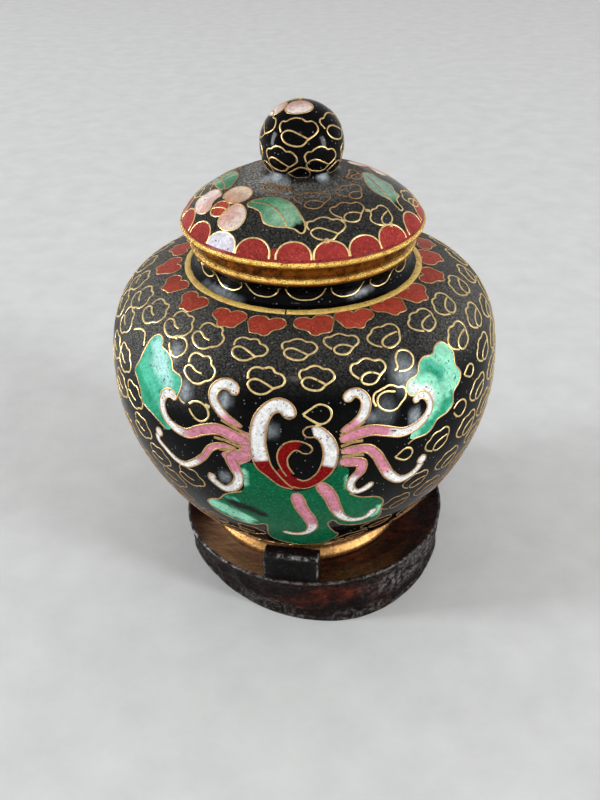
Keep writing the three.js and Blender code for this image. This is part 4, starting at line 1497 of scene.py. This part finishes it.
def drawLidBack():
    base = smoothLine(cloudShapes["mid"], 0.055)
    for angle, along in lidBack["clouds"]:
        cloud = moveMotif(dome, base, angle, along, lidBack["cloudSize"], rng.uniform(-10, 10))
        addWire(lidWires, dome, cloud, lidWireWidth)
    angle, along, reach = lidBack["blossom"]
    wide, deep = lidBack["petal"]
    oval = [(wide * math.cos(t), deep * math.sin(t))
            for t in np.linspace(0, 2 * math.pi, 14, endpoint=False)]
    shifted = smoothLine([(x * 1.1 + 0.72, y) for x, y in oval], 0.09, closed=True)
    core = np.array([math.radians(angle) * dome["chart"], along])
    for i in range(lidBack["petals"]):
        lean = 360.0 / lidBack["petals"] * i + lidBack["firstPetal"]
        outline = moveMotif(dome, shifted, angle, along, reach, lean)
        drawLidCell(outline, blossomShade(outline, core))
    outline = moveMotif(dome, smoothLine(oval, 0.09, closed=True), angle, along, reach * 0.5)
    drawLidCell(outline, lambda p: enamelPaint["brick"])


drawLobeHem()
drawLobes()
drawLidBlossom()
drawLidBack()
for px, py, size, kind in lidClouds:
    spot = castPixels(dome, [(px, py)])[0]
    shape = moveMotif(dome, smoothLine(cloudShapes[kind], 0.055), degreesAt(dome, spot[0]), spot[1], size)
    addWire(lidWires, dome, shape, lidWireWidth)

drawSolder(lidWires, dome, solderLook["dome"])

# the ball: two rings of clouds and a blossom over the top
ballLook = {
    "rows": [{"height": 96.2, "count": 5, "phase": -5.5, "size": 7.1, "kind": "mid"},
             {"height": 91.4, "count": 6, "phase": 28.5, "size": 6.5, "kind": "mid"}],
    "loops": {"height": 88.9, "count": 6, "phase": -4.5, "size": 4.0},
    "blossom": (-0.8, 1.5),
    "petalReach": 4.1,
    "petalSize": (2.5, 1.85),
    "firstPetal": -84.8,
    "petals": 4,
    "core": 1.1,
    "lift": 0.03,
}


def drawBall():
    for row in ballLook["rows"]:
        base = smoothLine(cloudShapes[row["kind"]], 0.055)
        along = alongAt(ball, row["height"])
        for i in range(row["count"]):
            angle = row["phase"] + 360.0 / row["count"] * i + rng.uniform(-2.0, 2.0)
            cloud = moveMotif(ball, base, angle, along, row["size"], rng.uniform(-5.0, 5.0))
            addWire(lidWires, ball, cloud, lidWireWidth)
    loops = ballLook["loops"]
    loop = smoothLine(loopShapes["drop"], 0.07)
    for i in range(loops["count"]):
        angle = loops["phase"] + 360.0 / loops["count"] * i
        placed = moveMotif(ball, loop, angle, alongAt(ball, loops["height"]), loops["size"])
        addWire(lidWires, ball, placed, lidWireWidth)
    ring = np.linspace(0, 2 * math.pi, 40, endpoint=False)
    for i in range(ballLook["petals"]):
        turn = math.radians(ballLook["firstPetal"] - 72.0 * i)
        out = np.array([math.cos(turn), math.sin(turn)])
        side = np.array([-math.sin(turn), math.cos(turn)])
        middle = np.array(ballLook["blossom"]) + ballLook["petalReach"] * out
        wide, deep = ballLook["petalSize"]
        outline = middle + np.cos(ring)[:, None] * wide * side + np.sin(ring)[:, None] * deep * out
        drawPetalOnBall(outline, middle, out)
    circle = np.stack([np.cos(ring), np.sin(ring)], axis=1)
    heart = np.array(ballLook["blossom"]) + ballLook["core"] * circle
    addCell(lidCells, ballTop, heart, ballLook["lift"], lambda p: enamelPaint["brick"])
    addWire(lidWires, ballTop, heart, lidWireWidth, closed=True)


def drawPetalOnBall(outline, middle, out):
    def shade(p):
        share = smoothStep(-1.4, 1.4, float(np.dot(p - middle, out)))
        return blendPaint(enamelPaint["rose"] * 0.85, enamelPaint["blush"], share)

    addCell(lidCells, ballTop, outline, ballLook["lift"], shade)
    addWire(lidWires, ballTop, outline, lidWireWidth, closed=True)


drawBall()


# how bright the gilding is drawn: brightest round the shoulder and the lid's edge, copper lower on the
# belly as painted shade, copper by the knob
wireTone = {"lotusWires": 0.35, "heartWires": 0.6, "ball": 0.6, "ballFrom": 87.4, "dome": (13.0, 19.0),
           "belly": (30.0, 54.0)}


def wireBrightness(name, spots):
    if name in wireTone:
        return np.full(len(spots), wireTone[name])
    if name == "lidWires":
        onDome = 0.15 + 0.85 * smoothStep(*wireTone["dome"], np.hypot(spots[:, 0], spots[:, 1]))
        return np.where(spots[:, 2] < wireTone["ballFrom"], onDome, wireTone["ball"])
    return 0.15 + 0.85 * smoothStep(*wireTone["belly"], spots[:, 2])


for name, tray, finish, slotName in (
    ("heartCells", heartCells, colourFinish, "colour_enamel"),
    ("heartWires", heartWires, wireFinish, "gilt"),
    ("neckScallops", neckWires, wireFinish, "gilt"),
    ("lotusCells", flowerCells, colourFinish, "colour_enamel"),
    ("lotusWires", flowerWires, wireFinish, "gilt"),
    ("cloudWiresHigh", cloudWiresHigh, wireFinish, "gilt"),
    ("cloudWiresLow", cloudWiresLow, wireFinish, "gilt"),
    ("lidCells", lidCells, lidFinish, "colour_enamel"),
    ("lidWires", lidWires, wireFinish, "gilt"),
):
    if finish is wireFinish:
        tray["tints"] = [np.repeat(wireBrightness(name, np.vstack(tray["verts"]))[:, None], 3, axis=1)]
    piece = trayToPiece(name, tray, finish)
    print(name, len(piece.data.polygons), "faces")

# the carved stand
standShape = {
    "offset": 1.6,
    "sharp": 50.0,
    "turnRadius": 30.0,  # before it is spread to the uneven outline
    "dishRadius": 29.8,
    "dishSink": 0.12,
    # radius at the rim and at the foot, by the angle round from the right-hand side
    "rim": [(-180, 28.5), (-167, 29.2), (-154, 29.75), (-25, 29.8), (0, 29.5), (45, 29.8), (120, 29.6)],
    "foot": [(-180, 28.3), (-167, 28.4), (-153, 27.6), (-142, 27.2), (-123, 27.6), (-110, 28.4),
             (-97, 29.3), (-82, 30.3), (-72, 30.6), (-61, 30.4), (-50, 29.9), (-27, 29.2), (-14, 29.4),
             (30, 28.4), (75, 29.5), (120, 28.0), (150, 28.8)],
    "height": 11.0,
    "edge": 0.36,
    "seat": 9.5,
    "seatRadius": 25.0,
    "seatEdge": 24.4,
    "dishEdge": 29.1,
    "dishRun": 4.3,  # the dish falls from the rim to the seat over this width
    "sides": 420,
    "rows": 32,
    "gouges": 46,
    "gougeDepth": 0.55,
    "roughness": 0.34,
    # rubbed patches on the side: angle, height, half width in degrees, half height, strength
    "rubbed": [(-80, 7.4, 17, 2.6, 1.0), (-97, 4.6, 13, 2.4, 0.7), (-60, 4.6, 9, 2.0, 0.5),
               (60, 6.0, 20, 3.0, 0.7), (150, 5.0, 16, 3.0, 0.7)],
    "scuffed": [(-45, 7.0, 26, 4.5, 0.42), (-112, 2.0, 20, 2.0, 0.25), (-72, 1.4, 16, 1.4, 0.35),
                (100, 5.0, 30, 4.0, 0.3)],
    "dishSheen": (-168, -103, 0.4),  # a painted sheen: the dish is drawn paler from one angle to another
    "clawCount": 3,
    "clawFirst": -99.7,
    "clawWidth": 11.3,
    "clawTop": 17.4,
    "clawOuter": 29.1,
    "clawFoot": 24.9,
    "clawInner": 25.7,
    "clawBevel": 0.45,
    "clawUneven": 0.14,
}


def gougeList():
    cuts = []
    for row, level in enumerate((2.9, 7.3)):
        for i in range(standShape["gouges"] // 2):
            angle = (i + 0.5 * row) * 4 * math.pi / standShape["gouges"] + rng.uniform(-0.06, 0.06)
            cuts.append((angle, level + rng.uniform(-0.8, 0.8), rng.uniform(3.4, 5.4),
                         rng.uniform(1.9, 2.9), rng.uniform(-0.7, 0.7)))
    for _ in range(150):
        angle = rng.uniform(0, 2 * math.pi)
        level = rng.uniform(0.6, 10.0)
        cuts.append((angle, level, rng.uniform(0.9, 2.4), rng.uniform(0.5, 1.2), rng.uniform(-1.2, 1.2)))
    return cuts


def radiusRound(marks, degrees):
    angles, radii = zip(*marks)
    return np.interp(degrees, angles, radii, period=360.0)


def makeStand():
    sideTop = standShape["height"] - standShape["edge"]
    # the profile is written as a share out to the side and a height, then spread to the uneven outline
    sideRows = [(1.0, sideTop * share) for share in np.linspace(0.03, 1.0, standShape["rows"])]
    edgeRows = [(0.999, sideTop + 0.16), (0.996, sideTop + 0.29), (0.99, standShape["height"])]
    dishDepth = standShape["height"] - standShape["seat"]
    dishRows = []
    for r in np.linspace(standShape["dishEdge"], standShape["seatRadius"], 12):
        level = standShape["seat"] + dishDepth * (r - standShape["seatRadius"]) / standShape["dishRun"]
        dishRows.append((r / standShape["dishRadius"], level))
    seatRows = [(r / standShape["dishRadius"], standShape["seat"] - 0.02)
                for r in np.linspace(standShape["seatEdge"], 0.0, 16)]
    profile = [(share, 0.0) for share in np.linspace(0.0, 0.985, 12)] + [(0.996, 0.08)]
    profile += sideRows + edgeRows + dishRows + seatRows
    tray = newTray()
    addTurned(tray, [(share * standShape["turnRadius"], height) for share, height in profile],
              standShape["sides"])
    spots = np.vstack(tray["verts"])
    share = np.hypot(spots[:, 0], spots[:, 1]) / standShape["turnRadius"]
    angle = np.arctan2(spots[:, 1], spots[:, 0])
    degrees = np.degrees(angle)
    rise = np.clip(spots[:, 2] / sideTop, 0.0, 1.0)
    foot, rim = (radiusRound(standShape[key], degrees) for key in ("foot", "rim"))
    outer = foot * (1 - rise) + rim * rise
    inner = smoothStep(0.8, 0.97, share)  # the dish stays round, only its edge follows the rim
    upper = spots[:, 2] > standShape["seat"] - 0.1
    radius = share * np.where(upper, standShape["dishRadius"] * (1 - inner) + outer * inner, outer)
    side = (share > 0.998) & (spots[:, 2] > 0.2)
    depth = np.zeros(len(spots))
    for turn, level, wide, tall, lean in gougeList():
        across = ((angle - turn + math.pi) % (2 * math.pi) - math.pi) * radius
        up = spots[:, 2] - level
        a = (across * math.cos(lean) + up * math.sin(lean)) / wide
        b = (up * math.cos(lean) - across * math.sin(lean)) / tall
        dish = np.clip(1.0 - a * a - b * b, 0.0, 1.0)
        depth = np.maximum(depth, standShape["gougeDepth"] * min(1.0, tall / 1.8) * dish)
    chips = np.array([noise.fractal((x * 0.7, y * 0.7, z * 0.9), 0.6, 2.1, 4) for x, y, z in spots])
    depth += standShape["roughness"] * (0.5 + 0.5 * chips)
    depth *= smoothStep(0.1, 0.9, spots[:, 2]) * smoothStep(sideTop + 0.01, sideTop - 0.7, spots[:, 2])
    radius -= np.where(side, depth, 0.0)
    uneven = np.array([noise.noise((x * 0.13, y * 0.13, 5.0)) for x, y, _ in spots])
    dished = upper & (share < 0.96)
    heights = spots[:, 2] - np.where(dished, standShape["dishSink"] * (0.5 + uneven), 0.0)
    spots = np.stack([radius * np.cos(angle), radius * np.sin(angle), heights], axis=1)
    wearAndSheen = 0.12 + 0.1 * uneven

    def fromPatch(turn, level, wide, tall):
        away = np.abs((degrees - turn + 180.0) % 360.0 - 180.0) / wide
        return np.hypot(away, (spots[:, 2] - level) / tall)

    for *patch, strength in standShape["rubbed"]:
        wearAndSheen = np.maximum(wearAndSheen, strength * smoothStep(1.15, 0.35, fromPatch(*patch) + 0.35 * chips))
    onTop = upper & (share < 0.985)
    wearAndSheen = np.where(onTop, 0.6 + 0.3 * uneven, wearAndSheen)
    # painted sheen: the dish's left side is drawn paler and tan where it reflects light
    sheenFrom, sheenTo, sheen = standShape["dishSheen"]
    comesIn = smoothStep(sheenFrom, sheenFrom + 14.0, degrees)
    goesOut = smoothStep(sheenTo, sheenTo - 6.0, degrees)
    sheened = onTop * comesIn * goesOut
    wearAndSheen = np.maximum(wearAndSheen, sheened)
    # painted highlight along the rim's edge, strongest on the left
    worn = np.where((degrees > sheenFrom) & (degrees < sheenTo - 12.0), 0.95, 0.4)
    scuffAndHighlight = np.where((share > 0.985) & (spots[:, 2] > sideTop - 0.25), worn, 0.0)
    scuffAndHighlight = np.maximum(scuffAndHighlight, np.where(side & (spots[:, 2] < 0.8), 0.3, 0.0))
    for *patch, strength in standShape["scuffed"]:
        scuffAndHighlight = np.maximum(scuffAndHighlight, strength * smoothStep(1.2, 0.4, fromPatch(*patch)) * side)
    tray["verts"] = [spots]
    edge = (share > 0.985) & (spots[:, 2] > sideTop - 0.05)
    # polish is the lacquer's coat, and on the dish's left it also carries the painted sheen
    polishAndSheen = np.where(onTop, 0.42 + sheen * sheened * (0.8 + 0.6 * uneven), np.where(edge, 0.42, 0.04))
    tray["tints"] = [np.clip(np.stack([wearAndSheen, polishAndSheen, scuffAndHighlight], axis=1), 0.0, 1.0)]
    block = trayToPiece("carvedStand", tray, woodFinish, standShape["sharp"])
    block.data.transform(Matrix.Translation((standShape["offset"] * mm, 0.0, 0.0)))
    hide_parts("stand")


def makeClaw(index):
    low = standShape["seat"] - 1.2
    foot, outer, inner, top = (standShape[key] for key in ("clawFoot", "clawOuter", "clawInner", "clawTop"))
    outline = [(foot, low), (outer - 1.2, low), (outer, 10.4), (outer, top - 0.5), (outer - 0.5, top),
               (inner, top), (foot, standShape["seat"])]
    half = standShape["clawWidth"] / 2
    work = bmesh.new()
    left = [work.verts.new((r, -half, z)) for r, z in outline]
    right = [work.verts.new((r, half, z)) for r, z in outline]
    count = len(outline)
    work.faces.new(left)
    work.faces.new(list(reversed(right)))
    for i in range(count):
        j = (i + 1) % count
        work.faces.new((left[j], left[i], right[i], right[j]))
    bmesh.ops.recalc_face_normals(work, faces=work.faces)
    bmesh.ops.bevel(work, geom=list(work.edges), offset=standShape["clawBevel"], segments=3, profile=0.6,
                    affect="EDGES")
    longEdges = [e for e in work.edges if e.calc_length() > 1.5]
    bmesh.ops.subdivide_edges(work, edges=longEdges, cuts=6, use_grid_fill=True)
    bmesh.ops.triangulate(work, faces=[f for f in work.faces if len(f.verts) > 4])
    work.normal_update()
    for vert in work.verts:
        spot = vert.co * 0.45 + Vector((index * 9.0, 0, 0))
        vert.co += vert.normal * standShape["clawUneven"] * noise.noise(spot)
    degrees = standShape["clawFirst"] + 360.0 / standShape["clawCount"] * index
    turn = Matrix.Rotation(math.radians(degrees), 4, "Z")
    shift = Matrix.Translation((standShape["offset"], 0.0, 0.0))
    work.transform(Matrix.Scale(mm, 4) @ shift @ turn)
    mesh = bpy.data.meshes.new("standClaw%d" % index)
    work.to_mesh(mesh)
    layer = mesh.color_attributes.new("tint", "FLOAT_COLOR", "POINT")
    for vert, item in zip(mesh.vertices, layer.data):
        edge = 1.0 - max(abs(part) for part in turn.to_3x3().inverted() @ vert.normal)
        facingUp = max(0.0, vert.normal.z)
        item.color = (0.1 * facingUp, 0.02, min(1.0, 5.0 * edge), 1.0)
    work.free()
    finishPiece(mesh, woodFinish, standShape["sharp"])


makeStand()
for index in range(standShape["clawCount"]):
    makeClaw(index)
print("stand carved")

# floor and soft studio light
floorLook = {"size": 3.0}


def makeFloor():
    mesh = bpy.data.meshes.new("floor")
    half = floorLook["size"] / 2
    corners = [(-half, -half, 0.0), (half, -half, 0.0), (half, half, 0.0), (-half, half, 0.0)]
    mesh.from_pydata(corners, [], [(0, 1, 2, 3)])
    mesh.materials.append(paleFloor())
    floor = bpy.data.objects.new("floor", mesh)
    bpy.context.scene.collection.objects.link(floor)


lights = [
    {"name": "windowLeft", "way": (-0.97, -0.06, 0.2), "far": 1.6,
     "size": (0.3, 0.72), "power": 22.0, "tone": (0.9, 0.95, 1.0)},
    {"name": "windowRight", "way": (0.84, -0.46, 0.22), "far": 1.6,
     "size": (0.3, 0.68), "power": 18.4, "tone": (0.92, 0.96, 1.0)},
    {"name": "lampFront", "way": (-0.09, -0.73, 0.68), "far": 0.8,
     "size": (0.05, 0.09), "power": 0.32, "tone": (1.0, 0.95, 0.86)},
]
skyLook = {"front": 0.85, "back": 1.0, "strength": 0.66}


def makeLights():
    aim = Vector((0.0, 0.0, 0.06))
    for light in lights:
        data = bpy.data.lights.new(light["name"], "AREA")
        data.shape = "RECTANGLE"
        data.size, data.size_y = light["size"]
        data.energy = light["power"]
        data.color = light["tone"]
        lamp = bpy.data.objects.new(light["name"], data)
        bpy.context.scene.collection.objects.link(lamp)
        spot = aim + Vector(light["way"]).normalized() * light["far"]
        lamp.location = spot
        lamp.rotation_euler = (aim - spot).to_track_quat("-Z", "Y").to_euler()
    world = bpy.data.worlds.new("studio")
    world.use_nodes = True
    tree = world.node_tree
    sky = tree.nodes["Background"]
    way = addNode(tree, "ShaderNodeSeparateXYZ",
                  {"Vector": addNode(tree, "ShaderNodeTexCoord").outputs["Generated"]})
    stops = [(0.05, skyLook["front"]), (0.75, skyLook["back"])]
    turned = addNode(tree, "ShaderNodeMapRange", {"Value": way.outputs["Y"]}, From_Min=-1.0, From_Max=1.0)
    tree.links.new(rampNode(tree, turned.outputs["Result"], stops), sky.inputs["Color"])
    sky.inputs["Strength"].default_value = skyLook["strength"]
    bpy.context.scene.world = world
    bpy.context.scene.view_settings.view_transform = "Standard"


makeFloor()
makeLights()
print("floor and light set")
